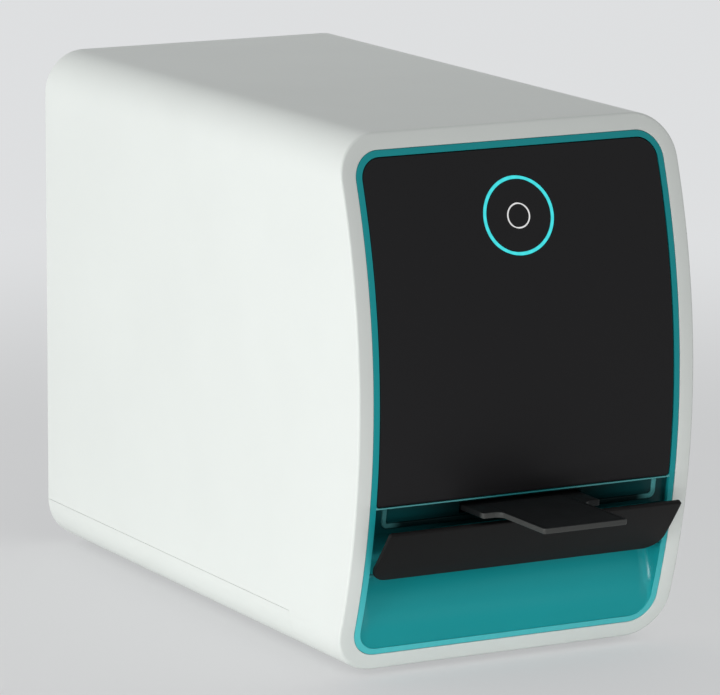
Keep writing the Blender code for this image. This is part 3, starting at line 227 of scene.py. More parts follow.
def level(section, z):
    return [(x, y, z) for x, y in section]


def loft(rings, cap="flat", bm=None):
    """Skins rings of equal length, into bm if it is given.

    The ends close flat, in rows across a bowed face, or joined to each other.
    """
    bm = bm or bmesh.new()
    rows = [[bm.verts.new(point) for point in ring] for ring in rings]
    count = len(rows[0])
    for first, second in zip(rows, rows[1:] + rows[:1] if cap == "joined" else rows[1:]):
        for i in range(count):
            j = (i + 1) % count
            bm.faces.new((first[i], first[j], second[j], second[i]))
    for row in (rows[0], rows[-1]) if cap != "joined" else ():
        if cap == "flat":
            bm.faces.new(row)
            continue
        for i in range(count // 2 - 1):
            bm.faces.new((row[i], row[i + 1], row[count - 2 - i], row[count - 1 - i]))
    bmesh.ops.recalc_face_normals(bm, faces=bm.faces[:])
    return bm


def slab(sizes, levels, **counts):
    """A bowed slab: its outline moved in by an inset at each depth."""
    return loft([bowed(outline(*sizes, inset, **counts), depth) for inset, depth in levels], "rows")


def drawn(section, start, end):
    """An (x, z) outline carried along Y."""
    return loft([flat(section, start), flat(section, end)])


def prism(points, half_width):
    """A (y, z) outline carried across the case along X."""
    return loft([[(x, y, z) for y, z in points] for x in (-half_width, half_width)])


def box_mesh(low, high):
    bm = bmesh.new()
    low, high = Vector(low), Vector(high)
    place = Matrix.Translation((low + high) / 2) @ Matrix.Diagonal((*(high - low), 1))
    bmesh.ops.create_cube(bm, size=1, matrix=place)
    return bm


AXES = {"X": ((1, 0, 0), (0, 1, 0)), "Y": ((0, 1, 0), (0, 0, 1)), "Z": ((0, 0, 1), (1, 0, 0))}


def turned(profile, axis, steps=48, centre=(0, 0, 0)):
    """Turns (distance, radius) pairs about an axis through the centre."""
    along, side = (Vector(a) for a in AXES[axis])
    turns = [2 * math.pi * step / steps for step in range(steps)]
    spokes = [side * math.cos(t) + along.cross(side) * math.sin(t) for t in turns]
    rings = []
    for distance, radius in profile:
        middle = Vector(centre) + along * distance
        rings.append([middle + spoke * radius for spoke in spokes])
    return loft(rings)


def rod(axis, start, end, radius, steps=48, centre=(0, 0, 0)):
    return turned([(start, radius), (end, radius)], axis, steps, centre)


def four(name):
    """The names of the frame's four like nodes."""
    return [f"{name}_{number}" for number in range(1, 5)]


# Pieces


def shaded(mesh, angle=32):
    mesh.shade_smooth()
    mesh.set_sharp_from_angle(angle=math.radians(angle))


def add_piece(name, bm):
    """An object at the origin that holds the bmesh in place."""
    mesh = bpy.data.meshes.new(name)
    bm.to_mesh(mesh)
    bm.free()
    shaded(mesh)
    obj = bpy.data.objects.new(name, mesh)
    bpy.context.scene.collection.objects.link(obj)
    return obj


def drop(obj):
    bpy.data.objects.remove(obj, do_unlink=True)


def settle(obj, angle=32):
    """Turns what the modifiers make into the object's plain mesh. Without an angle its normals stay."""
    graph = bpy.context.evaluated_depsgraph_get()
    graph.update()
    mesh = bpy.data.meshes.new_from_object(obj.evaluated_get(graph))
    obj.modifiers.clear()
    old, obj.data = obj.data, mesh
    bpy.data.meshes.remove(old)
    mesh.name = obj.name
    if angle:
        shaded(mesh, angle)
    return obj


def shape(obj, *steps, angle=32):
    """Cuts the shapes away in turn. A pair of an operation and a shape keeps or joins instead."""
    tools = []
    for step in steps:
        operation, bm = step if isinstance(step, tuple) else ("DIFFERENCE", step)
        tools.append(add_piece(f"{obj.name}_tool", bm))
        modifier = obj.modifiers.new(operation, "BOOLEAN")
        modifier.operation = operation
        modifier.object = tools[-1]
    settle(obj, angle)
    for tool in tools:
        drop(tool)
    return obj


def soften(obj, width):
    """Rounds the edges that are left sharp, and leaves the faces between them flat."""
    modifier = obj.modifiers.new("soften", "BEVEL")
    modifier.harden_normals = True
    modifier.width = width
    modifier.segments = 3
    modifier.limit_method = "ANGLE"
    modifier.angle_limit = math.radians(40)
    modifier.use_clamp_overlap = True
    return settle(obj, None)


def dress(obj, finish, body, slot, *nodes):
    """Gives a piece its finish and the body that it rides on, and hides the nodes that it stands for."""
    obj.data.materials.clear()
    obj.data.materials.append(finish)
    for polygon in obj.data.polygons:
        polygon.material_index = 0
    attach(obj, body)
    if nodes:
        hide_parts(*nodes)


# Nodes


def worked_by(operation, reflected=False):
    """An operator that adds a Math node, with its own socket second where it is the reflected form."""

    def operator(self, other):
        values = (other, self) if reflected else (self, other)
        return self.nodes.maths(operation, *values)

    return operator


class Term:
    """A socket that values come from. Arithmetic on it adds the Math nodes that work it out."""

    def __init__(self, nodes, socket):
        self.nodes, self.socket = nodes, socket

    __add__ = __radd__ = worked_by("ADD")
    __mul__ = __rmul__ = worked_by("MULTIPLY")
    __sub__, __rsub__ = worked_by("SUBTRACT"), worked_by("SUBTRACT", reflected=True)
    __pow__, __gt__, __lt__ = worked_by("POWER"), worked_by("GREATER_THAN"), worked_by("LESS_THAN")

    def swing(self, size):
        """A value between 0 and 1 turned into one that swings about 0, over the size given."""
        return (self - 0.5) * size


RAYS = ("Camera", "Glossy", "Transmission")


class Nodes:
    """A node tree, and the one method that adds a node of any kind to it."""

    def __init__(self, tree, prefix="ShaderNode"):
        self.tree, self.prefix = tree, prefix

    def node(self, kind, sockets=None, out=0, **settings):
        """Adds a node: its settings, then the values or links of its sockets. Gives one output."""
        node = self.tree.nodes.new(self.prefix + kind)
        for name, value in settings.items():
            setattr(node, name, value)
        for name, value in (sockets or {}).items():
            if isinstance(value, Term):
                self.tree.links.new(value.socket, node.inputs[name])
            else:
                node.inputs[name].default_value = value
        return Term(self, node.outputs[out]) if node.outputs else None

    def maths(self, operation, *values):
        return self.node("Math", dict(enumerate(values)), operation=operation)

    def seen(self):
        """One on a ray from the camera, a mirror or a clear piece, and nothing on any other."""
        camera, gloss, clear = (self.node("LightPath", out=f"Is {kind} Ray") for kind in RAYS)
        return self.maths("MAXIMUM", self.maths("MAXIMUM", camera, gloss), clear)


class Recipe(Nodes):
    """A Geometry Nodes tree with named inputs, which ends in real meshes that have a finish."""

    def __init__(self, name, **inputs):
        super().__init__(bpy.data.node_groups.new(name, "GeometryNodeTree"), "GeometryNode")
        for label, kind in {"Geometry": "Geometry", "Finish": "Material", **inputs}.items():
            self.tree.interface.new_socket(label, in_out="INPUT", socket_type=f"NodeSocket{kind}")
        self.tree.interface.new_socket("Result", in_out="OUTPUT", socket_type="NodeSocketGeometry")
        self.start = self.tree.nodes.new("NodeGroupInput")

    def given(self, label):
        return Term(self, self.start.outputs[label])

    def copies(self, points, piece):
        """The piece that an input names, copied to each point."""
        source = self.node("ObjectInfo", {"Object": self.given(piece)}, "Geometry")
        return self.node("InstanceOnPoints", {"Points": points, "Instance": source})

    def grow(self, obj, geometry, **values):
        """Ends the tree, sets its inputs and runs it on an object, whose plain mesh is then what it made."""
        real = self.node("RealizeInstances", {"Geometry": geometry})
        painted = self.node("SetMaterial", {"Geometry": real, "Material": self.given("Finish")})
        self.tree.links.new(painted.socket, self.tree.nodes.new("NodeGroupOutput").inputs[0])
        modifier = obj.modifiers.new(self.tree.name, "NODES")
        modifier.node_group = self.tree
        for item in self.tree.interface.items_tree:
            if item.name in values:
                modifier[item.identifier] = values[item.name]
        settle(obj)
        bpy.data.node_groups.remove(self.tree)
        return obj


def repeated(name, template, places, finish):
    """One mesh with a copy of the template, drawn about the origin, at each place."""
    recipe = Recipe(name, Piece="Object")
    points = bmesh.new()
    for place in places:
        points.verts.new(place)
    piece = add_piece(f"{name}_template", template)
    copies = recipe.copies(recipe.given("Geometry"), "Piece")
    obj = recipe.grow(add_piece(name, points), copies, Piece=piece, Finish=finish)
    drop(piece)
    return obj


def add_copies(name, template, places, finish, slot, *nodes):
    dress(repeated(name, template, places, finish), finish, "case", slot, *nodes)


# Finishes


def shade_of(colour, factor):
    return tuple(min(1.0, channel * factor) for channel in colour[:3])


class Finish(Nodes):
    """A material of one Principled shader, and the nodes that vary it over a surface."""

    def __init__(self, name, roughness=0.4, **constants):
        self.material = bpy.data.materials.new(name)
        self.material.use_nodes = True
        super().__init__(self.material.node_tree)
        self.shader = self.tree.nodes["Principled BSDF"]
        for socket, value in {"Roughness": roughness, **constants}.items():
            self.shader.inputs[socket.replace("_", " ")].default_value = value
        self.place = self.node("TexCoord", out="Object")

    def made(self, **terms):
        """Feeds the terms to the shader's sockets, and gives the material."""
        for socket, term in terms.items():
            self.tree.links.new(term.socket, self.shader.inputs[socket.replace("_", " ")])
        return self.material

    def axes(self):
        split = self.node("SeparateXYZ", {0: self.place})
        return [Term(self, output) for output in split.socket.node.outputs]

    def noise(self, scale, detail=2.0, stretch=None):
        """Noise in the object's own space, with a grain that runs one way where it is stretched."""
        place = self.node("Mapping", {"Vector": self.place, "Scale": stretch}) if stretch else self.place
        return self.node("TexNoise", {"Vector": place, "Scale": scale, "Detail": detail})

    def cells(self, scale, **sockets):
        return self.node("TexVoronoi", {"Vector": self.place, "Scale": scale, **sockets}, feature="F1")

    def lobes(self, height, count, pitch=None):
        """Waves round an axis along Y at a height, twisted into a thread where there is a pitch."""
        across, along, up = self.axes()
        turn = self.maths("ARCTAN2", up - height, across) * count
        if pitch:
            turn = turn + along * (2 * math.pi / pitch)
        return self.maths("COSINE", turn) * 0.5 + 0.5

    def blend(self, factor, first, second):
        """A colour between two colours."""
        ends = {6: first, 7: second}
        ends = {slot: end if isinstance(end, Term) else (*end[:3], 1) for slot, end in ends.items()}
        return self.node("Mix", {"Factor": factor, **ends}, 2, data_type="RGBA")

    def tone(self, factor, colour, low, high):
        """One colour, from a low strength to a high one."""
        return self.blend(factor, shade_of(colour, low), shade_of(colour, high))

    def ramp(self, term, start, end):
        """Rises smoothly from 0 to 1 as the term goes from start to end."""
        sockets = {0: term, "From Min": start, "From Max": end}
        return self.node("MapRange", sockets, interpolation_type="SMOOTHSTEP")

    def relief(self, height, distance, strength=1.0):
        return self.node("Bump", {"Height": height, "Distance": distance, "Strength": strength})


def moulded(name, colour, roughness, grain=0.00035, depth=0.000012, swing=0.05, **constants):
    """Injection-moulded plastic: fine spark-eroded grain, faint flow mottling, a little handling sheen."""
    finish = Finish(name, roughness, **constants)
    fine, broad, sheen = finish.noise(1 / grain, 3), finish.noise(22, 3), finish.noise(6, 2, (1, 0.35, 1))
    return finish.made(
        Base_Color=finish.tone(broad, colour, 1 - swing / 2, 1 + swing / 2),
        Roughness=roughness + fine.swing(0.10) + sheen.swing(0.12),
        Normal=finish.relief(fine, depth, 0.5),
    )


def metal(name, colour, roughness, grain=(1, 1, 1), scale=2500, worn=0.08, metallic=1.0):
    """Machined or drawn metal: fine lines along one way, dull patches and a little tarnish."""
    finish = Finish(name, roughness, Metallic=metallic)
    lines, patches = finish.noise(scale, 2, grain), finish.noise(60, 4)
    return finish.made(
        Base_Color=finish.tone(patches, colour, 1 - worn, 1 + worn / 2),
        Roughness=roughness + lines.swing(0.22) + patches.swing(0.10),
        Normal=finish.relief(lines, 0.000006, 0.4),
    )


def threaded(name, colour, pitch, starts):
    """The lead screw's steel, darker in the grooves of its thread."""
    finish = Finish(name, 0.30, Metallic=1.0)
    crest, oil = finish.lobes(SCREW_Z, starts, pitch), finish.noise(300, 3)
    return finish.made(
        Base_Color=finish.tone(crest, colour, 0.35, 1),
        Roughness=0.22 + crest * 0.12 + oil.swing(0.1),
        Normal=finish.relief(crest, pitch / 5),
    )


def teal_with_painted_light(front):
    """The bezel's satin plastic, glossy up the bay's sides; painted highlights on the band's foot and lip,
    painted shade by the slot.
    """
    finish = Finish("satin_teal", 0.34, Specular_IOR_Level=0.20, Coat_Roughness=0.20)
    fine, broad = finish.noise(2800, 3), finish.noise(22, 3)
    x, y, z = finish.axes()
    across, rise = finish.maths("ABSOLUTE", x), z - MIDDLE
    behind = y - (FRONT + BOW_RADIUS) + (BOW_RADIUS**2 - rise * rise) ** 0.5
    face, deep = finish.ramp(behind, 0.00036, 0.00022), finish.ramp(behind, 0.0006, 0.0022)
    # foot: the band is painted paler towards its foot, a painted highlight as if it were lit from below.
    foot, high = finish.ramp(z, 0.062, 0.012), finish.ramp(z, HINGE.z + 0.003, BAY_CEILING + 0.002)
    # Painted highlight on the lip under the glass, in the seal's colour, fading towards the middle as painted
    # shade.
    lip = finish.ramp(z, GLASS_LOW - 0.0011, GLASS_LOW - 0.0007) * (z < GLASS_LOW) * (across < INNER_HALF)
    side = INNER_HALF - front.bay_fillet
    glossy = finish.ramp(across, side - 0.0010, side + 0.0004) * deep * (1.0 - high)
    plain = finish.tone(broad, front.teal, 0.97, 1.03)
    # Painted highlight: the band's face blends to a paler teal towards the foot.
    foot_highlighted = finish.blend(face * foot, plain, front.foot_highlight_teal)
    lip_highlighted = finish.blend(face * lip * (0.3 + 0.7 * finish.ramp(across, 0.006, 0.026)), foot_highlighted, front.seal)
    # Painted shade on the wall round the slot and high in the bay: a dark teal, darkest in the middle behind
    # the tray and lighter towards the sides.
    slot_shade = finish.tone(finish.ramp(across, 0.022, 0.050), front.slot_shade, 0.4, 2.2)
    return finish.made(
        Base_Color=finish.blend(deep * high, lip_highlighted, slot_shade),
        Roughness=0.34 + fine.swing(0.10) + broad.swing(0.08),
        Coat_Weight=glossy * 0.42,
        Normal=finish.relief(fine, 0.000012, 0.5),
    )


def black_pane(colour):
    """Back-painted pane with a dull antiglare face, faint wiping marks and specks of dust."""
    finish = Finish("black_pane", 0.36, Specular_IOR_Level=0.12)
    wiped, dust = finish.noise(9, 4, (1, 1, 0.3)), finish.noise(900, 1)
    return finish.made(
        Base_Color=finish.tone(wiped, colour, 0.92, 1.08),
        Roughness=0.33 + wiped * 0.08 + (dust > 0.68) * 0.04,
    )


def lit_ring(name, colour, strength, lamps):
    """A light guide with lamps under it, a touch brighter over each lamp."""
    finish = Finish(name, 0.45, Emission_Strength=strength, Specular_IOR_Level=0.1)
    return finish.made(
        Emission_Color=finish.tone(finish.lobes(KEY_Z, lamps), colour, 0.90, 1),
        Base_Color=finish.tone(finish.noise(700), colour, 0.25, 0.30),
    )


def seal_with_painted_shade(front):
    """Soft flocked seal, pale at its ends; painted shade darkens it along the tray and half darkens its left
    end.
    """
    finish = Finish("pale_seal", 0.6, Specular_IOR_Level=0.12)
    flock, patches = finish.noise(3200, 2), finish.noise(160, 4)
    across = finish.axes()[0]
    ends = finish.ramp(finish.maths("ABSOLUTE", across), SEAL_HALF_WIDTH - 0.0080, SEAL_HALF_WIDTH - 0.0025)
    # Painted light: the right end shows the seal's pale colour, the left end is half in painted shade, and the
    # run along the tray is painted dark as shade.
    shown = ends * (0.5 + 0.5 * finish.ramp(across, -0.03, 0.03))
    pale = finish.tone(patches, front.seal, 0.85, 1.1)
    return finish.made(
        Base_Color=finish.blend(shown, shade_of(front.slot_shade, 0.4), pale),
        Roughness=0.6 + patches.swing(0.15),
        Normal=finish.relief(flock, 0.00003, 0.5),
    )


def tray_paint_and_shade(bare, coating_and_shade):
    """Alloy plate with a dull black coat on its top and milled bright edges, which take the coat's dark colour
    as painted shade in the slot and on the right shoulder.
    """
    finish = Finish("tray_coating", 0.45, Specular_IOR_Level=0.15)
    milled, patches = finish.noise(420, 2, (1, 1, 14)), finish.noise(60, 4)
    across, along, up = finish.axes()
    # Painted shade: behind the shoulder, back in the slot, and along the right shoulder, the edges are painted
    # the coat's dark colour.
    inner = finish.ramp(along, SHOULDER + 0.0006, SHOULDER + 0.003)
    right = finish.ramp(across, TONGUE_HALF_WIDTH + 0.0008, TONGUE_HALF_WIDTH + 0.0024)
    top = finish.maths("MAXIMUM", up > TRAY_HIGH.z - 0.00018, finish.maths("MAXIMUM", inner, right))
    edges, faces = finish.tone(milled, bare, 0.8, 1.2), finish.tone(patches, coating_and_shade, 0.85, 1.15)
    return finish.made(
        Base_Color=finish.blend(top, edges, faces),
        Roughness=0.40 + top * 0.12 + patches.swing(0.1),
        Normal=finish.relief(milled, 0.000006, 0.4),
    )


def circuit(name, colour):
    """Solder mask over etched tracks, with bare tinned pads."""
    finish = Finish(name, 0.38, Coat_Roughness=0.2)
    shades = {"Color1": (0, 0, 0, 1), "Color2": (0, 0, 0, 1), "Mortar": (1, 1, 1, 1)}
    sockets = {"Vector": finish.place, "Scale": 260.0, "Mortar Size": 0.012, "Bias": 0.0, **shades}
    grid = finish.node("TexBrick", sockets, offset=0.5, squash=0.6, squash_frequency=3)
    pads = finish.cells(420.0, Randomness=0.35) < 0.12
    tracks = finish.tone(grid, colour, 1, 1.9)
    return finish.made(
        Base_Color=finish.blend(pads, tracks, (0.62, 0.60, 0.55)),
        Metallic=pads * 0.9,
        Roughness=0.42 - pads * 0.12 + finish.noise(300).swing(0.1),
        Normal=finish.relief(grid, 0.00002, 0.6),
    )


def clear(name, colour, roughness, ior):
    """Polished optical plastic or glass, with a trace of haze."""
    finish = Finish(name, roughness, Transmission_Weight=0.85, IOR=ior)
    haze = finish.noise(120, 3)
    return finish.made(Base_Color=finish.tone(haze, colour, 0.94, 1), Roughness=roughness + haze * 0.04)


def rubber(name, colour, roughness, gloss=0.3):
    """Soft rubber: fine pebbling, dusty where it is high."""
    finish = Finish(name, roughness, Specular_IOR_Level=gloss)
    dust = finish.noise(140, 5)
    return finish.made(
        Base_Color=finish.tone(dust**3, colour, 1, 2.2),
        Roughness=roughness + dust.swing(0.2),
        Normal=finish.relief(finish.cells(2600.0), 0.00004, 0.5),
    )


# Settings that a user would change


def length(name, default, description):
    return FloatProperty(name=name, default=default, description=description, unit="LENGTH", precision=5)


def power(name, default, where):
    description = f"Power of the lamp {where}"
    return FloatProperty(name=name, default=default, description=description, unit="POWER", min=0.0)


def amount(name, default, description):
    return IntProperty(name=name, default=default, description=description, min=1)


def tint(name, default, what):
    limits = {"min": 0.0, "max": 1.0, "size": 3, "subtype": "COLOR"}
    return FloatVectorProperty(name=name, default=default, description=f"Colour of {what}", **limits)


class ScannerCase(bpy.types.PropertyGroup):
    """Sizes and colours of the case."""

    outer_edge: length("Outer edge", 0.0009, "Radius where the case's side turns into its front rim")
    inner_edge: length("Inner edge", 0.00018, "Radius on the rim's inner edge")
    back_edge: length("Back edge", 0.0012, "Radius on the case's back edge")
    white: tint("White", (0.822, 0.860, 0.832), "the case")
    rubber: tint("Rubber", (0.03, 0.03, 0.03), "the feet")


class ScannerFront(bpy.types.PropertyGroup):
    """Sizes and colours of the bezel, the glass and its lights."""

    bay_fillet: length("Bay fillet", 0.0034, "Radius where the sill runs into the bay's side walls")
    sill_step: length("Sill step", 0.0004, "How far the sill starts behind the bezel's band")
    lip: length("Lip", 0.00045, "Height of the bezel's lip under the glass")
    ring_radius: length("Ring radius", 0.01345, "Outer radius of the light ring")
    ring_band: length("Ring band", 0.00102, "Width of the light ring")
    touch_radius: length("Touch radius", 0.00432, "Outer radius of the touch mark")
    touch_band: length("Touch band", 0.00034, "Width of the touch mark")
    lamps: amount("Lamps", 24, "Lamps under the light ring")
    teal: tint("Teal", (0.0095, 0.335, 0.360), "the bezel and the bay")
    # Painted highlight: a paler teal painted on the band's foot, as if it were lit from below.
    foot_highlight_teal: tint("Foot highlight teal", (0.095, 0.620, 0.655), "the band's foot")
    # Painted shade: a dark teal that stands for the shade on the wall round the tray's slot.
    slot_shade: tint("Slot shade", (0.001, 0.024, 0.026), "the wall round the tray's slot")
    black: tint("Black", (0.0150, 0.0147, 0.0157), "the paint behind the glass")
    glow: tint("Glow", (0.060, 0.700, 0.730), "the light ring")
    mark: tint("Mark", (0.78, 0.78, 0.78), "the touch mark")
    # Also used for the painted highlight on the lip under the glass.
    seal: tint("Seal", (0.11, 0.42, 0.43), "the seal, and of the lip under the glass")


class ScannerTray(bpy.types.PropertyGroup):
    """Sizes and colours of the flap and the tray."""

    flap_edge: length("Flap edge", 0.0005, "Radius on the flap's edges")
    tray_edge: length("Tray edge", 0.0003, "Radius on the tray's edges")
    flap: tint("Flap", (0.0068, 0.0064, 0.0064), "the flap")
    tray: tint("Tray", (0.058, 0.060, 0.058), "the tray's bare edges")
    pad: tint("Pad", (0.0085, 0.0095, 0.0100), "the tray's top and its pad")


class ScannerBack(bpy.types.PropertyGroup):
    """Sizes and colours of the rear panel and what is on it."""

    vent_length: length("Vent length", 0.034, "Length of a vent")
    vent_width: length("Vent width", 0.003, "Height of a vent")
    vent_pitch: length("Vent pitch", 0.0065, "From one row of vents to the next")
    column_pitch: length("Column pitch", 0.044, "From one column of vents to the next")
    vent_rows: amount("Vent rows", 6, "Rows of vents")
    vent_columns: amount("Vent columns", 2, "Columns of vents")
    panel: tint("Panel", (0.26, 0.27, 0.28), "the painted rear panel")
    plastic: tint("Black plastic", (0.016, 0.016, 0.017), "the switch and the power socket")


class ScannerStage(bpy.types.PropertyGroup):
    """The floor and the lights."""

    ambient: FloatProperty(name="Ambient", default=0.415, min=0.0, description="Strength of the even light")
    key: power("Key", 21.5, "on the left")
    low: power("Low", 0.165, "low in front")
    foot: power("Foot", 0.017, "at the front's foot")
    fill: power("Fill", 13.0, "behind, on the right")
    floor: tint("Floor", (0.85, 0.85, 0.85), "the floor")
    haze: tint("Haze", (0.73, 0.74, 0.75), "the haze over the floor")
    backdrop: tint("Backdrop", (0.72, 0.73, 0.74), "the backdrop")


class PieceMaker:
    """What the operators share: each makes its pieces from the scene's settings."""

    bl_options = {"REGISTER", "UNDO"}

    def execute(self, context):
        self.make(context.scene)
        return {"FINISHED"}


# Case


def sleeve(name, case):
    """The case's closed, bowed tube, with its rim in front and the ledge for the rear panel."""
    inner, ledge, seat = case_outline(WALL), case_outline(LEDGE_WIDTH), PANEL_BACK - GAP
    rings = [flat(inner, BACK), flat(inner, seat), flat(ledge, seat)]
    rings += [flat(section, seat - LEDGE_THICKNESS) for section in (ledge, inner)]
    rings += [bowed(section, RIM_DEPTH) for section in (inner, case_outline(RIM_WIDTH))]
    edges = rounding(case.inner_edge, inset=RIM_WIDTH, outward=-1)[::-1] + rounding(case.outer_edge, 8)
    rings += [bowed(case_outline(inset), behind) for inset, behind in edges]
    back_edge = rounding(case.back_edge, 6)[::-1]
    rings += [flat(case_outline(inset), BACK - depth) for inset, depth in back_edge]
    return add_piece(name, loft(rings, "joined"))


def pan_zone(seam=0.0, end_seam=0.0):
    """The space of the base pan, and of the seams round it."""
    side = HALF_WIDTH + OVERRUN
    low = (-side, FRONT + PAN_START_DEPTH - end_seam, BASE - OVERRUN)
    return box_mesh(low, (side, BACK + OVERRUN, BASE + SEAM_HEIGHT + seam))


def screw_places(y):
    """In the ledge's four rounded corners."""
    low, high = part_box("rear_screw_1")[0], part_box("rear_screw_4")[1]
    reach = (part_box("rear_screw_1")[1] - low).x / 2
    return [(x, y, z) for z in (low.z + reach, high.z - reach) for x in (low.x + reach, high.x - reach)]


def screw_holes():
    for place in screw_places(PANEL_FACE):
        yield rod("Y", -SCREW_HOLE_DEPTH, OVERRUN, SCREW_HOLE_RADIUS, 24, place)


class SCANNER_OT_shell(PieceMaker, bpy.types.Operator):
    """The bowed white shell."""

    bl_idname = "scanner.shell"
    bl_label = "Outer shell"

    def make(self, scene):
        shell = sleeve("case_shell", scene.scanner_case)
        shape(shell, pan_zone(SEAM, END_SEAM), *screw_holes())
        white = moulded("satin_white", scene.scanner_case.white, 0.42, Specular_IOR_Level=0.18)
        dress(shell, white, "case", "white_plastic", "outer_shell")


class SCANNER_OT_pan(PieceMaker, bpy.types.Operator):
    """The white base pan under the seam."""

    bl_idname = "scanner.pan"
    bl_label = "Base pan"

    def make(self, scene):
        pan = sleeve("case_pan", scene.scanner_case)
        holes = []
        for low, high in map(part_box, four("foot")):
            centre = ((low.x + high.x) / 2, (low.y + high.y) / 2, 0)
            holes.append(rod("Z", BASE - OVERRUN, high.z + GAP, (high.x - low.x) / 2 + GAP, centre=centre))
        shape(pan, ("INTERSECT", pan_zone()), *screw_holes(), *holes)
        colour = scene.scanner_case.white
        white = moulded("satin_white_base", colour, 0.45, grain=0.0005, Specular_IOR_Level=0.18)
        dress(pan, white, "case", "white_base", "base_pan")


class SCANNER_OT_feet(PieceMaker, bpy.types.Operator):
    """Four rubber feet, each with a sunk middle and a ring groove."""

    bl_idname = "scanner.feet"
    bl_label = "Feet"

    def make(self, scene):
        low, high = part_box("foot_1")
        radius, height = (high.x - low.x) / 2, high.z
        sunk, edge, pole = 0.0006, 0.0006, 0.0004
        groove, width = radius * 0.55, 0.0010
        profile = [(sunk, pole), (sunk, groove - width * 1.5), (0, groove - width), (0, groove)]
        profile += [(sunk, groove + width / 2), (sunk, groove + width), (0, groove + width * 1.5)]
        profile += arc(edge, radius - edge, edge, 180, 90, 5) + [(height, radius), (height, pole)]
        places = [((low.x + high.x) / 2, (low.y + high.y) / 2, 0) for low, high in map(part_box, four("foot"))]
        finish = rubber("foot_rubber", scene.scanner_case.rubber, 0.75)
        add_copies("foot_pads", turned(profile, "Z", 40), places, finish, "foot_rubber", *four("foot"))


# Front


def chute(z, step):
    """The y of the sill, which rolls back from the bezel's band up to the bay's back wall."""
    return min(bow(z, step + (z - INNER_LOW) ** 2 / (2 * CHUTE_ROLL)), FRONT + BAY_BACK_DEPTH)


def bay_ring(z, back, fillet):
    """The bay at one height: in at the left wall, along its back and out at the right wall."""
    below = min(max(0.0, INNER_LOW + INNER_CORNER - z), INNER_CORNER)
    half = INNER_HALF - INNER_CORNER + math.sqrt(INNER_CORNER**2 - below**2)
    right = arc(half - fillet, back - fillet, fillet, 90, 0, 7) + [(half, FRONT - OVERRUN)]
    return level(both_sides(right), z)


def bay_cutter(front):
    """What is cut away for the bay: up its rolled sill, and then up the wall round the slot."""
    rings = []
    for share in spread(0, 1, 56):
        z = INNER_LOW + (BAY_CEILING - INNER_LOW) * share**1.5
        sill = chute(z, front.sill_step)
        rings.append(bay_ring(z, sill, min(front.bay_fillet, sill - bow(z))))
    for z in spread(BAY_CEILING, GLASS_LOW - GAP - front.lip, 8):
        rings.append(bay_ring(z, bow(z, BAY_WALL_DEPTH), BAY_WALL_CORNER))
    return loft(rings)


def seal_path(inset):
    """One edge of the seal: a U as (x, z) whose ends are hidden under the glass."""
    half, low, corner = SEAL_HALF_WIDTH - inset, GLASS_LOW - SEAL_LOW_DROP + inset, SEAL_CORNER - inset
    right = arc(half - corner, low + corner, corner, -90, 0)
    right += [(half, z) for z in spread(low + corner, GLASS_LOW - SEAL_TOP_DROP, 6)[1:]]
    return [(-x, z) for x, z in reversed(right)] + right


def seal_strip(thickness, grow=0.0, edge=0.0):
    """The bowed seal, or the groove that takes it."""
    front = BAY_WALL_DEPTH - SEAL_PROUD
    steps = rounding(edge, 4, behind=front) if edge else [(0, front)]
    rings = []
    for inset, behind in steps + [(0, front + thickness)]:
        section = seal_path(inset - grow) + seal_path(SEAL_BAND - inset + grow)[::-1]
        rings.append(bowed(section, behind))
    return loft(rings, "rows")


def key_ring(radius, band, front, back, grow=0.0, crown=0.0):
    """A ring that lies in the bowed glass, or the groove that takes it."""
    upright = math.cos(math.asin((KEY_Z - MIDDLE) / BOW_RADIUS))
    inner, width = radius - band - grow, band + 2 * grow
    places = [(radius + grow, back), (inner, back)]
    for share in spread(0, 1, 6 if crown else 1):
        places.append((inner + width * share, front - crown * math.sin(math.pi * share)))
    rings = []
    for size, behind in places:
        rings.append(bowed([(x, KEY_Z + up * upright) for x, up in circle(0, 0, size, 96)], behind))
    return loft(rings, "joined")


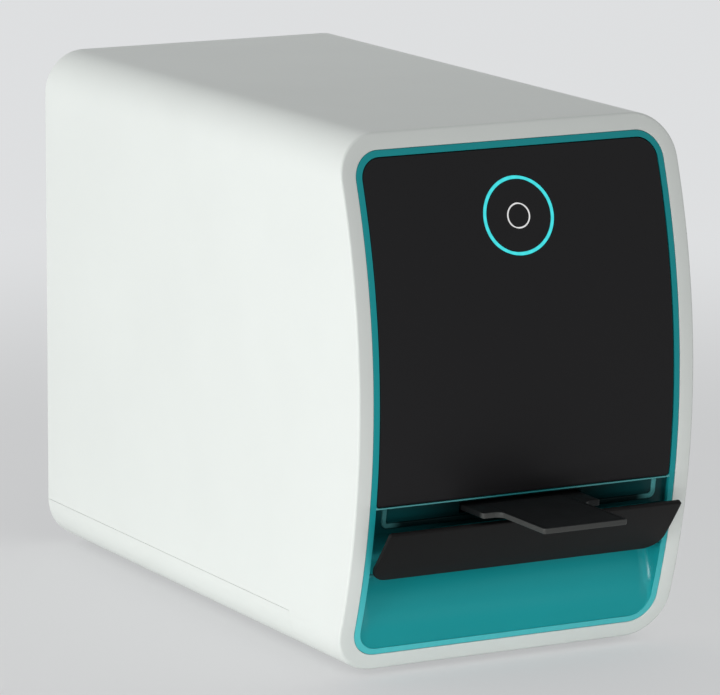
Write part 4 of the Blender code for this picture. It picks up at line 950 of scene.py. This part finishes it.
class SCANNER_OT_bezel(PieceMaker, bpy.types.Operator):
    """The teal moulding: band, lip, slot wall, and the bay with its rolled sill."""

    bl_idname = "scanner.bezel"
    bl_label = "Front bezel"

    def make(self, scene):
        front = scene.scanner_front
        plug, flange = case_outline(BEZEL_INSET), case_outline(WALL + GAP)
        deepest = bow(BASE + BEZEL_INSET, FLANGE_DEPTH) + BEZEL_SKIN
        behind = deepest + OVERRUN
        edge = rounding(BEZEL_EDGE, inset=BEZEL_INSET)
        rings = [bowed(case_outline(inset), depth) for inset, depth in edge]
        rings += [bowed(section, RIM_DEPTH + GAP) for section in (plug, flange)]
        rings += [bowed(section, FLANGE_DEPTH) for section in (flange, plug)] + [flat(plug, deepest)]
        bezel = add_piece("bezel_moulding", loft(rings, "rows"))
        sparse = {"steps": 6, "rows": 30}
        floor, depth = BAY_CEILING + BEZEL_SKIN, GLASS_THICKNESS + GAP
        pocket = (INNER_HALF, GLASS_LOW - GAP, INNER_TOP, GLASS_LOW_CORNER + GAP, INNER_CORNER)
        inner = outline(INNER_HALF, floor, INNER_TOP, GLASS_LOW_CORNER, INNER_CORNER, **sparse)
        wide = outline(HALF_WIDTH, floor + BEZEL_SKIN, TOP, GLASS_LOW_CORNER, CASE_CORNER, **sparse)
        start = INNER_LOW + BEZEL_SKIN
        under = [(chute(z, 0) + BEZEL_SKIN + front.sill_step, z) for z in spread(start, BAY_CEILING, 24)]
        slot_low = (-SLOT_HALF_WIDTH, FRONT - OVERRUN, TRAY_LOW.z - SLOT_CLEARANCE)
        reach = INNER_HALF + HINGE_ROD_OVERHANG + GAP
        shape(
            bezel,
            slab(pocket, ((0, -OVERRUN), (0, depth))),
            loft([bowed(inner, depth + BEZEL_SKIN), flat(inner, behind)], "rows"),
            loft([bowed(wide, FLANGE_DEPTH + BEZEL_SKIN / 2), flat(wide, behind)], "rows"),
            bay_cutter(front),
            prism([(behind, start)] + under + [(behind, BAY_CEILING)], INNER_HALF - front.bay_fillet),
            box_mesh(slot_low, (SLOT_HALF_WIDTH, deepest, TRAY_HIGH.z + SLOT_CLEARANCE)),
            seal_strip(SEAL_THICKNESS + GAP, RING_GAP),
            rod("X", -reach, reach, HINGE_ROD_RADIUS + GAP, 24, HINGE),
            angle=24,
        )
        dress(bezel, teal_with_painted_light(front), "case", "teal_plastic", "front_bezel")


class SCANNER_OT_glass(PieceMaker, bpy.types.Operator):
    """The bowed black pane, grooved for its two rings."""

    bl_idname = "scanner.glass"
    bl_label = "Front glass"

    def make(self, scene):
        front = scene.scanner_front
        sizes = (INNER_HALF - GAP, GLASS_LOW, INNER_TOP - GAP, GLASS_LOW_CORNER, INNER_CORNER - GAP)
        pane = add_piece("glass_pane", slab(sizes, rounding(GLASS_EDGE, 4) + [(0, GLASS_THICKNESS)]))
        depth = RING_THICKNESS + RING_GAP
        bands = ((front.ring_radius, front.ring_band), (front.touch_radius, front.touch_band))
        shape(pane, *(key_ring(*band, -OVERRUN, depth, RING_GAP) for band in bands), angle=24)
        dress(pane, black_pane(front.black), "case", "black_glass", "front_glass")


class SCANNER_OT_key(PieceMaker, bpy.types.Operator):
    """The light ring and the touch mark inside it."""

    bl_idname = "scanner.key"
    bl_label = "Touch key"

    def make(self, scene):
        front = scene.scanner_front
        glow = lit_ring("ring_glow", front.glow, 0.95, front.lamps)
        mark = lit_ring("mark_glow", front.mark, 0.9, 4)
        for name, radius, band, finish, slot, node in (
            ("glow_ring", front.ring_radius, front.ring_band, glow, "ring_light", "light_ring"),
            ("touch_mark", front.touch_radius, front.touch_band, mark, "key_light", "touch_ring"),
        ):
            ring = key_ring(radius, band, RING_CROWN, RING_THICKNESS, crown=RING_CROWN)
            dress(add_piece(name, ring), finish, "case", slot, node)


class SCANNER_OT_seal(PieceMaker, bpy.types.Operator):
    """The light seal round the tray's slot."""

    bl_idname = "scanner.seal"
    bl_label = "Light seal"

    def make(self, scene):
        seal = add_piece("seal_strip", seal_strip(SEAL_THICKNESS, edge=SEAL_EDGE))
        dress(seal, seal_with_painted_shade(scene.scanner_front), "case", "pale_seal", "light_seal")


# Flap and tray


class SCANNER_OT_flap(PieceMaker, bpy.types.Operator):
    """The bowed drop flap with its hinge barrel, leaning open."""

    bl_idname = "scanner.flap"
    bl_label = "Flap"

    def make(self, scene):
        tray = scene.scanner_tray
        sizes = (FLAP_HALF_WIDTH, FLAP_LOW, FLAP_TOP, FLAP_LOW_CORNER, FLAP_TOP_CORNER)
        edge = rounding(tray.flap_edge, 4)
        back = [(inset, FLAP_THICKNESS - depth) for inset, depth in reversed(edge)]
        flap = add_piece("flap_panel", slab(sizes, edge + back, steps=12, rows=16))
        reach = FLAP_HALF_WIDTH - FLAP_LOW_CORNER
        through = reach + OVERRUN
        barrel = rod("X", -reach, reach, BARREL_RADIUS, 32, HINGE)
        shape(flap, ("UNION", barrel), rod("X", -through, through, HINGE_ROD_RADIUS + GAP, 24, HINGE))
        turn = Matrix.Rotation(FLAP_OPEN, 4, "X")
        flap.data.transform(Matrix.Translation(HINGE) @ turn @ Matrix.Translation(-HINGE))
        finish = moulded("satin_black", tray.flap, 0.50, swing=0.10, depth=0.00002, Specular_IOR_Level=0.10)
        dress(flap, finish, "flap", "black_plastic", "flap_door")


def tray_ring(z, inset):
    """The tray's outline at one height, moved in by an inset all round."""
    tip, rear, wide = TRAY_LOW.y, TRAY_HIGH.y, TRAY_HIGH.x
    corner, fillet = TRAY_CORNER - inset, TRAY_FILLET + inset
    right = arc(TONGUE_HALF_WIDTH - TRAY_CORNER, tip + TRAY_CORNER, corner, -90, 0, 6)
    right += arc(TONGUE_HALF_WIDTH + TRAY_FILLET, SHOULDER - TRAY_FILLET, fillet, 180, 90)
    right += arc(wide - TRAY_CORNER, SHOULDER + TRAY_CORNER, corner, -90, 0, 6)
    return level(both_sides(right + [(wide - inset, rear - inset)]), z)


class SCANNER_OT_tray(PieceMaker, bpy.types.Operator):
    """The tray's tongue, and the pad that a plate lies on."""

    bl_idname = "scanner.tray"
    bl_label = "Plate tray"

    def make(self, scene):
        tray = scene.scanner_tray
        edge = rounding(tray.tray_edge, 4)
        rings = [tray_ring(TRAY_LOW.z + rise, inset) for rise, inset in reversed(edge)]
        rings += [tray_ring(TRAY_HIGH.z - fall, inset) for fall, inset in edge]
        tongue = add_piece("tray_tongue", loft(rings))
        low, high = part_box("magnet_pad")
        room = Vector((RING_GAP, RING_GAP, OVERRUN))
        shape(tongue, box_mesh(low - Vector((RING_GAP, RING_GAP, RING_GAP)), high + room))
        dress(tongue, tray_paint_and_shade(tray.tray, tray.pad), "tray", "grey_tray", "plate_tray")
        pad = soften(add_piece("tray_pad", box_mesh(low, high)), PAD_EDGE)
        dress(pad, rubber("pad_rubber", tray.pad, 0.7, 0.1), "tray", "black_pad", "magnet_pad")


# Back


def vented(panel, back, finish):
    """Cuts rows of round-ended vents through the panel."""
    recipe = Recipe("vents", Slot="Object", Columns="Int", Rows="Int", Width="Float", Height="Float")
    sizes = {"Size X": "Width", "Size Y": "Height", "Vertices X": "Columns", "Vertices Y": "Rows"}
    grid = recipe.node("MeshGrid", {socket: recipe.given(label) for socket, label in sizes.items()})
    height = back.vent_pitch * (back.vent_rows - 1)
    centre = (0, (PANEL_BACK + PANEL_FACE) / 2, TOP - VENTS_DROP - height / 2)
    sockets = {"Geometry": grid, "Translation": centre, "Rotation": (math.pi / 2, 0, 0)}
    slots = recipe.copies(recipe.node("Transform", sockets), "Slot")
    real = recipe.node("RealizeInstances", {"Geometry": slots})
    sockets = {"Mesh 1": recipe.given("Geometry"), "Mesh 2": real}
    radius = back.vent_width / 2
    end = back.vent_length / 2 - radius
    section = arc(end, 0, radius, -90, 90) + arc(-end, 0, radius, 90, 270)
    slot = add_piece("vent_slot", drawn(section, -OVERRUN, OVERRUN))
    recipe.grow(
        panel,
        recipe.node("MeshBoolean", sockets, operation="DIFFERENCE"),
        Finish=finish,
        Slot=slot,
        Columns=back.vent_columns,
        Rows=back.vent_rows,
        Width=back.column_pitch * (back.vent_columns - 1),
        Height=height,
    )
    drop(slot)


class SCANNER_OT_panel(PieceMaker, bpy.types.Operator):
    """The painted rear panel with its vents and openings."""

    bl_idname = "scanner.panel"
    bl_label = "Rear panel"

    def make(self, scene):
        back = scene.scanner_back
        panel = add_piece("back_panel", drawn(case_outline(WALL + GAP), PANEL_BACK, PANEL_FACE))
        cuts = []
        for x, (width, height) in ((SWITCH_X, SWITCH_OPENING), (PORT_X, PORT_OPENING)):
            low = (x - width / 2, PANEL_BACK - OVERRUN, PORT_ROW - height / 2)
            cuts.append(box_mesh(low, (x + width / 2, PANEL_FACE + OVERRUN, PORT_ROW + height / 2)))
        cuts.append(rod("Y", -OVERRUN, OVERRUN, JACK_OPENING_RADIUS, centre=(JACK_X, PANEL_FACE, PORT_ROW)))
        shape(panel, *cuts, *screw_holes())
        paint = moulded("panel_paint", back.panel, 0.46, grain=0.0007, depth=0.00004, swing=0.08)
        vented(panel, back, paint)
        dress(soften(panel, PANEL_EDGE), paint, "case", "grey_panel", "rear_panel")


def cross_screw(radius, height, length_in, shank):
    """A pan-head screw with a cross recess, pointing along +Y about the origin."""
    sink, crown, turns = 0.0005, radius * 0.42, spread(0, math.pi / 2, 6)
    profile = [(-length_in, shank * 0.7), (sink - length_in, shank), (0, shank)]
    profile += [(height * math.sin(t), radius - crown * (1 - math.cos(t))) for t in turns]
    screw = add_piece("cross_screw", turned(profile, "Y", 32))
    floor, reach, half = height * 0.38, radius * 0.52, radius * 0.115
    arms = ((reach, half), (half, reach))
    shape(screw, *(box_mesh((-x, floor, -z), (x, height + OVERRUN, z)) for x, z in arms))
    bm = bmesh.new()
    bm.from_mesh(screw.data)
    drop(screw)
    return bm


class SCANNER_OT_screws(PieceMaker, bpy.types.Operator):
    """The rear panel's four cross-head screws."""

    bl_idname = "scanner.screws"
    bl_label = "Rear screws"

    def make(self, scene):
        low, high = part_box("rear_screw_1")
        seat = high.y - HEAD_HEIGHT
        steel = metal("screw_steel", (0.62, 0.63, 0.64), 0.30, (1, 6, 1), 900)
        template = cross_screw((high.x - low.x) / 2, HEAD_HEIGHT, seat - low.y, SHANK_RADIUS)
        add_copies("back_screws", template, screw_places(seat), steel, "steel", *four("rear_screw"))


class SCANNER_OT_switch(PieceMaker, bpy.types.Operator):
    """The power switch: its surround, the rocker and the rocker's two marks."""

    bl_idname = "scanner.switch"
    bl_label = "Power switch"

    def make(self, scene):
        low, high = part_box("switch_frame")
        middle, wide = (low + high) / 2, (high - low) / 2
        half_x, half_z, corner, wall, flange = 0.0075, 0.0105, 0.0008, 0.0015, 0.0014
        steps = [(low.y, half_x, half_z), (high.y - flange, half_x, half_z)]
        for fall, inset in ((flange, 0), (0.0004, 0), (0.0001, 0.0001), (0, 0.0004)):
            steps.append((high.y - fall, wide.x - inset, wide.z - inset))
        rings = [flat(square(x, z, corner, middle), y) for y, x, z in steps]
        surround = add_piece("switch_surround", loft(rings))
        half_x, half_z = half_x - wall, half_z - wall
        shape(surround, drawn(square(half_x, half_z, corner / 2, middle), low.y + wall, high.y + OVERRUN))
        plastic = moulded("switch_plastic", scene.scanner_back.plastic, 0.38, grain=0.0005, depth=0.00003)
        dress(surround, plastic, "case", "black_plastic", "switch_frame")
        self.make_rocker(plastic, half_x - GAP, half_z - GAP)

    def make_rocker(self, plastic, half_x, half_z):
        """The rocker, dished between its ends, with a ring and a bar printed on it."""
        lean, thick = ROCKER_LEAN, ROCKER_THICKNESS
        reach = (half_z - thick * math.sin(lean)) / math.cos(lean)
        crest = thick - reach * math.tan(lean)

        def face(z):
            return crest + (thick - crest) * abs(z / reach) ** 1.5

        def printed(*sections, proud=0.00008):
            levels = [(s, proud) for s in sections] + [(s, -proud) for s in reversed(sections)]
            return [[(x, face(z) + y, z) for x, z in section] for section, y in levels]

        back = [(-thick / 2, reach), (-thick, 0), (-thick / 2, -reach)]
        section = [(face(z), z) for z in spread(-reach, reach, 24)] + back
        rocker = soften(add_piece("switch_rocker", prism(section, half_x)), ROCKER_EDGE)
        centre, size, stroke = reach * 0.56, 0.0021, 0.0006
        ring = [circle(0, -centre, radius, 40) for radius in (size, size - stroke)]
        bar = [(x * stroke / 2, centre + z * size) for x, z in SQUARE]
        marks = add_piece("rocker_marks", loft(printed(bar), bm=loft(printed(*ring), "joined")))
        for piece in (rocker, marks):
            piece.data.transform(Matrix.Translation(ROCKER_PIVOT) @ Matrix.Rotation(lean, 4, "X"))
        dress(rocker, plastic, "rocker", "black_plastic", "power_rocker")
        dress(marks, moulded("mark_print", (0.82, 0.82, 0.80), 0.5), "rocker", "key_light")


class SCANNER_OT_sockets(PieceMaker, bpy.types.Operator):
    """The power socket and the data socket with its contacts."""

    bl_idname = "scanner.sockets"
    bl_label = "Sockets"

    def make(self, scene):
        steel = metal("contact_steel", (0.68, 0.68, 0.66), 0.22, (1, 8, 1), 900)
        self.make_jack(moulded("socket_plastic", scene.scanner_back.plastic, 0.34), steel)
        self.make_port(steel)

    def make_jack(self, plastic, steel):
        """The round power socket: a knurled nut, a stepped mouth and the pin in its bore."""
        bore, pin, nut, body, knurl = 0.0032, 0.0011, 0.0075, 0.0055, 0.0003
        mouth, depth, end = 0.0018, 0.009, -0.014
        centre = (JACK_X, PANEL_FACE + GAP, PORT_ROW)
        profile = [(end, body - 0.0003), (end + 0.0003, body), (0, body), (0, nut), (mouth - 0.0004, nut)]
        profile += [(mouth, nut - 0.0005), (mouth, bore + 0.0009), (mouth - 0.0003, bore + 0.0008)]
        profile += [(mouth - 0.0003, bore + 0.0002), (mouth - 0.0006, bore)]
        profile += [(mouth - depth, bore), (mouth - depth, bore * 0.5)]
        socket = add_piece("power_socket", turned(profile, "Y", centre=centre))
        knurls = circle(JACK_X, PORT_ROW, nut, 24)
        shape(socket, *(rod("Y", -GAP / 2, OVERRUN, knurl, 8, (x, centre[1], z)) for x, z in knurls))
        dress(socket, plastic, "case", "black_plastic", "power_jack")
        tip, turns = 0.0006, spread(0, math.pi / 2, 6)[:-1]
        profile = [(mouth - depth + 0.0001, pin)]
        profile += [(tip * (math.sin(t) - 1) - GAP, pin * math.cos(t)) for t in turns]
        dress(add_piece("power_pin", turned(profile, "Y", 24, centre)), steel, "case", "steel")

    def make_port(self, steel):
        """The square data socket: a steel shell with a stepped mouth, and a tongue with two contacts."""
        low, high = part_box("data_port")
        middle, half = (low + high) / 2, (high - low) / 2
        wall, corner, slope, edge = 0.0008, 0.0007, 0.0028, 0.00015
        shell = add_piece("port_shell", drawn(square(half.x, half.z, corner, middle), low.y, high.y))
        side, top = half.x - wall, half.z - wall
        right = [(side, -top), (side, half.z - slope), (half.x - slope, top)]
        mouth = [(middle.x + x, middle.z + z) for x, z in both_sides(right)]
        shape(shell, drawn(mouth, low.y + wall, high.y + OVERRUN))
        dress(soften(shell, edge), steel, "case", "steel", "data_port")
        tongue_x, tongue_z, tongue_edge = 0.0028, 0.0016, 0.0002
        reach = Vector((tongue_x, half.y - wall, tongue_z))
        tongue = soften(add_piece("port_tongue", box_mesh(middle - reach, middle + reach)), tongue_edge)
        dress(tongue, moulded("tongue_plastic", (0.6, 0.6, 0.58), 0.4), "case", "black_plastic")
        gold = metal("contact_gold", (0.80, 0.58, 0.24), 0.22, (1, 8, 1), 900)
        reach, long, sunk, proud, pitch = 0.0005, 0.0055, 0.00005, 0.00015, 0.0025
        strip = box_mesh((-reach, -long, -sunk), (reach, 0, proud))
        rear, row = high.y - wall - 0.0006, middle.z + tongue_z
        places = [(middle.x + side * pitch / 2, rear, row) for side in (-1, 1)]
        add_copies("port_contacts", strip, places, gold, "brass")


# Inside

# Each finish's maker, name and values, and the frame's nodes that wear it
INSIDE = (
    (threaded, "thread", ((0.60, 0.61, 0.62), 0.0015, 4), ["lead_screw"]),
    (metal, "steel", ((0.60, 0.61, 0.62), 0.26, (1, 0.05, 1), 3000),
     ["guide_rod_left", "guide_rod_right", *four("deck_post"), *four("board_post")]),
    # The flap's rod: a teal darker than the bezel's, painted shade so that it blends into the shade in the
    # bay.
    (metal, "dark_steel", ((0.008, 0.190, 0.205), 0.50, (0.05, 1, 1), 3000, 0.08, 0.0), ["flap_rod"]),
    (metal, "aluminium", ((0.72, 0.73, 0.74), 0.34, (0.05, 1, 1)),
     ["front_stand", "rear_stand", "chassis_plate", "power_converter"]),
    (metal, "black_alloy", ((0.030, 0.030, 0.032), 0.42, (1, 1, 0.05), 2500, 0.15, 0.6),
     ["stepper_motor", "optics_deck", "laser_block", "galvo_motor", "mirror_bracket", "tube_clamp"]),
    (metal, "brass", ((0.72, 0.52, 0.22), 0.28, (0.05, 1, 1)), ["drive_nut", "laser_module"]),
    (metal, "mirror", ((0.92, 0.93, 0.94), 0.04, (1, 1, 1), 200, 0.01), ["scan_mirror", "fold_mirror"]),
    (metal, "tube_shield", ((0.45, 0.46, 0.48), 0.34, (1, 0.05, 1), 2500, 0.1, 0.9), ["photomultiplier"]),
    (clear, "lens_glass", ((0.86, 0.92, 0.98), 0.03, 1.52), ["scan_lens"]),
    (clear, "clear_acrylic", ((0.90, 0.96, 1.0), 0.05, 1.49), ["light_guide"]),
    (moulded, "lamp_white", ((0.85, 0.84, 0.78), 0.40), ["erase_lamp"]),
    (moulded, "black_plastic", ((0.018, 0.018, 0.019), 0.45, 0.00035, 0.00003),
     ["tray_carriage", "home_switch"]),
    (circuit, "circuit_board", ((0.012, 0.12, 0.055),), ["main_board", "key_board"]),
)


class SCANNER_OT_inside(PieceMaker, bpy.types.Operator):
    """Finishes of the drive, the optics and the boards, which keep the frame's shapes."""

    bl_idname = "scanner.inside"
    bl_label = "Inside"

    def make(self, scene):
        for maker, kind, values, names in INSIDE:
            finish = maker(f"inner_{kind}", *values)
            for name in names:
                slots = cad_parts[name].material_slots
                if slots:
                    slots[0].material = finish
                else:
                    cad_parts[name].data.materials.append(finish)


CHIP_LOW, CHIP_TOP = 0.0003, 0.0022  # over the board
CHIP_EDGE = 0.0002
PIN_RADIUS, PIN_LOW, PIN_TOP, PIN_TIP = 0.00032, 0.0006, 0.0060, 0.0004
PIN_PITCH = 0.0025


def board_socket(half_x, half_y, height, wall):
    """An open plug socket, standing on the origin."""
    steps = ((0, 0), (0, height), (wall, height), (wall, wall))
    return loft([level(square(half_x - inset, half_y - inset, wall / 2), z) for inset, z in steps])


def chip_leg(reach, foot, thickness, rise, half_width):
    """A pair of legs in one strip, which runs through the chip from side to side."""
    shin = reach - foot
    half = [(shin - thickness, rise - thickness), (shin - thickness, 0), (reach, 0), (reach, thickness)]
    return drawn(both_sides(half + [(shin, thickness), (shin, rise)]), -half_width, half_width)


class SCANNER_OT_board(PieceMaker, bpy.types.Operator):
    """What stands on the main board: chips and their legs, capacitors, plug sockets and their pins."""

    bl_idname = "scanner.board"
    bl_label = "Main board"

    def make(self, scene):
        low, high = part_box("main_board")

        def on_board(*places):
            return [(x, low.y + y, high.z) for x, y in places]

        half, pitch, legs = 0.0050, 0.00127, 7
        chips = on_board((-0.030, 0.022), (-0.004, 0.036), (-0.034, 0.050), (0.024, 0.026))
        epoxy = moulded("chip_epoxy", (0.020, 0.020, 0.022), 0.5)
        body = box_mesh((-half, -half, CHIP_LOW), (half, half, CHIP_TOP))
        bodies = soften(repeated("board_chips", body, chips, epoxy), CHIP_EDGE)
        dress(bodies, epoxy, "case", "black_plastic")
        tin = metal("leg_tin", (0.70, 0.70, 0.68), 0.30)
        rows = [(x, y + pitch * (leg - (legs - 1) / 2), z) for x, y, z in chips for leg in range(legs)]
        leg = chip_leg(half + 0.0014, foot=0.0008, thickness=0.0002, rise=0.0012, half_width=0.0002)
        add_copies("board_legs", leg, rows, tin, "steel")

        waist, wide, tall = 0.0036, 0.0040, 0.0100
        can = [(0, waist), (0.0004, wide), (0.0012, wide), (0.0016, waist), (0.0020, wide)]
        can += [(tall - 0.0004, wide), (tall, waist)]
        cans = on_board((0.044, 0.022), (0.044, 0.033), (0.044, 0.044), (0.030, 0.050))
        bright = metal("can_aluminium", (0.74, 0.75, 0.76), 0.32, (1, 1, 0.1), 1800)
        add_copies("board_cans", turned(can, "Z", 28), cans, bright, "aluminium")

        sockets = on_board(*((x, 0.0065) for x in (-0.028, -0.008, 0.012, 0.032)))
        nylon = moulded("socket_nylon", (0.76, 0.73, 0.64), 0.45)
        housing = board_socket(half_x=0.0070, half_y=0.0029, height=0.0070, wall=0.0008)
        add_copies("board_sockets", housing, sockets, nylon, "white_base")
        pins = [(x + step * PIN_PITCH, y, z) for x, y, z in sockets for step in range(-2, 3)]
        profile = [(PIN_LOW, PIN_RADIUS), (PIN_TOP - PIN_TIP, PIN_RADIUS), (PIN_TOP, 0.00015)]
        pin = turned(profile, "Z", 12)
        add_copies("board_pins", pin, pins, tin, "steel")


# Stage

FLOOR_REACH = 12.0
CAMERA_PLACE = Vector((-0.86287, -1.59133, 0.44767))
CAMERA_AIM = Vector((0.46405, 0.86479, -0.19197)).normalized()
CAMERA_ROLL = math.radians(0.245)
CAMERA_LENS_MM = 261.14

# Each lamp's name, place, aim and size, and whether it also lights the floor and shows in gloss
LAMPS = (
    ("key", (-1.9, -0.25, 0.20), (0, 0, 0.09), (1.6, 0.34), True),
    ("low", (-0.08, -0.36, 0.012), (0, -0.1, 0.030), (0.40, 0.02), False),
    ("foot", (0, -0.165, 0.005), (0, -0.1, 0.012), (0.16, 0.008), False),
    ("fill", (1.7, 1.1, 0.30), (0, 0, 0.09), (1.6, 0.40), False),
)


def soft_lamp(name, place, aim, size, energy, spared):
    """A soft box, which no view shows. Where it spares an object, it doesn't reach it or show in gloss."""
    light = bpy.data.lights.new(name, "AREA")
    light.shape = "RECTANGLE"
    light.size, light.size_y = size
    light.energy = energy
    lamp = bpy.data.objects.new(name, light)
    lamp.location = place
    lamp.rotation_euler = (Vector(aim) - Vector(place)).to_track_quat("-Z", "Y").to_euler()
    lamp.visible_camera = False
    lamp.visible_glossy = spared is None
    if spared:
        lit = bpy.data.collections.new(f"{name}_reach")
        lit.objects.link(spared)
        lit.collection_objects[0].light_linking.link_state = "EXCLUDE"
        lamp.light_linking.receiver_collection = lit
    bpy.context.scene.collection.objects.link(lamp)


def pale_world(scene, ambient, backdrop):
    """Even soft light, which a camera, gloss and clear pieces see as a pale backdrop."""
    scene.world = scene.world or bpy.data.worlds.new("studio")
    scene.world.use_nodes = True
    nodes = Nodes(scene.world.node_tree)
    nodes.tree.nodes.clear()
    lit = nodes.node("Background", {"Color": (1, 1, 1, 1), "Strength": ambient})
    shown = nodes.node("Background", {"Color": (*backdrop, 1), "Strength": 1.0})
    nodes.node("OutputWorld", {0: nodes.node("MixShader", {0: nodes.seen(), 1: lit, 2: shown})})


def pale_floor(colour, paleness):
    """Matt paper that takes the object's shadow, with a haze over it that hides it far out."""
    finish = Finish("floor_paper", 0.85, Specular_IOR_Level=0.0)
    across, along, _up = finish.axes()
    distance = (across * across + along * along) ** 0.5
    share = finish.seen() * (0.6 + 0.4 * finish.ramp(distance, 0.3, 0.8))
    haze = finish.node("Emission", {"Color": (*paleness, 1)})
    paper = Term(finish, finish.shader.outputs[0])
    mix = finish.node("MixShader", {0: share, 1: paper, 2: haze})
    finish.tree.links.new(mix.socket, finish.tree.nodes["Material Output"].inputs[0])
    return finish.made(Base_Color=finish.tone(finish.noise(3), colour, 0.995, 1))


class SCANNER_OT_stage(PieceMaker, bpy.types.Operator):
    """The pale floor, the soft lights and the camera."""

    bl_idname = "scanner.stage"
    bl_label = "Stage"

    def make(self, scene):
        stage = scene.scanner_stage
        bm = bmesh.new()
        bmesh.ops.create_grid(bm, x_segments=8, y_segments=8, size=FLOOR_REACH)
        floor = add_piece("floor", bm)
        floor.data.materials.append(pale_floor(stage.floor, stage.haze))
        pale_world(scene, stage.ambient, stage.backdrop)
        for name, place, aim, size, whole in LAMPS:
            soft_lamp(f"{name}_lamp", place, aim, size, getattr(stage, name), None if whole else floor)

        right = CAMERA_AIM.cross(Vector((0, 0, 1))).normalized()
        right = right * math.cos(CAMERA_ROLL) + right.cross(CAMERA_AIM) * math.sin(CAMERA_ROLL)
        axes = Matrix((right, right.cross(CAMERA_AIM), -CAMERA_AIM)).transposed().to_4x4()
        lens = bpy.data.cameras.new("camera")
        lens.lens, lens.sensor_width, lens.sensor_fit = CAMERA_LENS_MM, 36.0, "HORIZONTAL"
        camera = bpy.data.objects.new("camera", lens)
        camera.matrix_world = Matrix.Translation(CAMERA_PLACE) @ axes
        scene.collection.objects.link(camera)
        scene.camera = camera
        scene.view_settings.view_transform = "Standard"


GROUPS = (
    ("scanner_case", ScannerCase, "Case"),
    ("scanner_front", ScannerFront, "Front"),
    ("scanner_tray", ScannerTray, "Flap and tray"),
    ("scanner_back", ScannerBack, "Back"),
    ("scanner_stage", ScannerStage, "Stage"),
)
OPERATORS = (
    SCANNER_OT_shell, SCANNER_OT_pan, SCANNER_OT_feet, SCANNER_OT_bezel, SCANNER_OT_glass,
    SCANNER_OT_key, SCANNER_OT_seal, SCANNER_OT_flap, SCANNER_OT_tray, SCANNER_OT_panel,
    SCANNER_OT_screws, SCANNER_OT_switch, SCANNER_OT_sockets, SCANNER_OT_inside, SCANNER_OT_board,
    SCANNER_OT_stage,
)


class SCANNER_PT_sidebar(bpy.types.Panel):
    """Settings and pieces of the scanner."""

    bl_idname = "SCANNER_PT_sidebar"
    bl_label = "Plate scanner"
    bl_space_type = "VIEW_3D"
    bl_region_type = "UI"
    bl_category = "Scanner"

    def draw(self, context):
        for attribute, _group, label in GROUPS:
            box = self.layout.box()
            box.label(text=label)
            group = getattr(context.scene, attribute)
            for name in group.bl_rna.properties.keys():
                if name not in ("rna_type", "name"):
                    box.prop(group, name)
        for operator in OPERATORS:
            self.layout.operator(operator.bl_idname)


def register():
    for attribute, group, _label in GROUPS:
        bpy.utils.register_class(group)
        setattr(bpy.types.Scene, attribute, PointerProperty(type=group))
    for item in (*OPERATORS, SCANNER_PT_sidebar):
        bpy.utils.register_class(item)


def unregister():
    for item in (SCANNER_PT_sidebar, *reversed(OPERATORS)):
        bpy.utils.unregister_class(item)
    for attribute, group, _label in reversed(GROUPS):
        delattr(bpy.types.Scene, attribute)
        bpy.utils.unregister_class(group)


def main():
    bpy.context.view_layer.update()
    register()
    for operator in OPERATORS:
        category, name = operator.bl_idname.split(".")
        getattr(getattr(bpy.ops, category), name)()


if __name__ == "__main__":
    main()
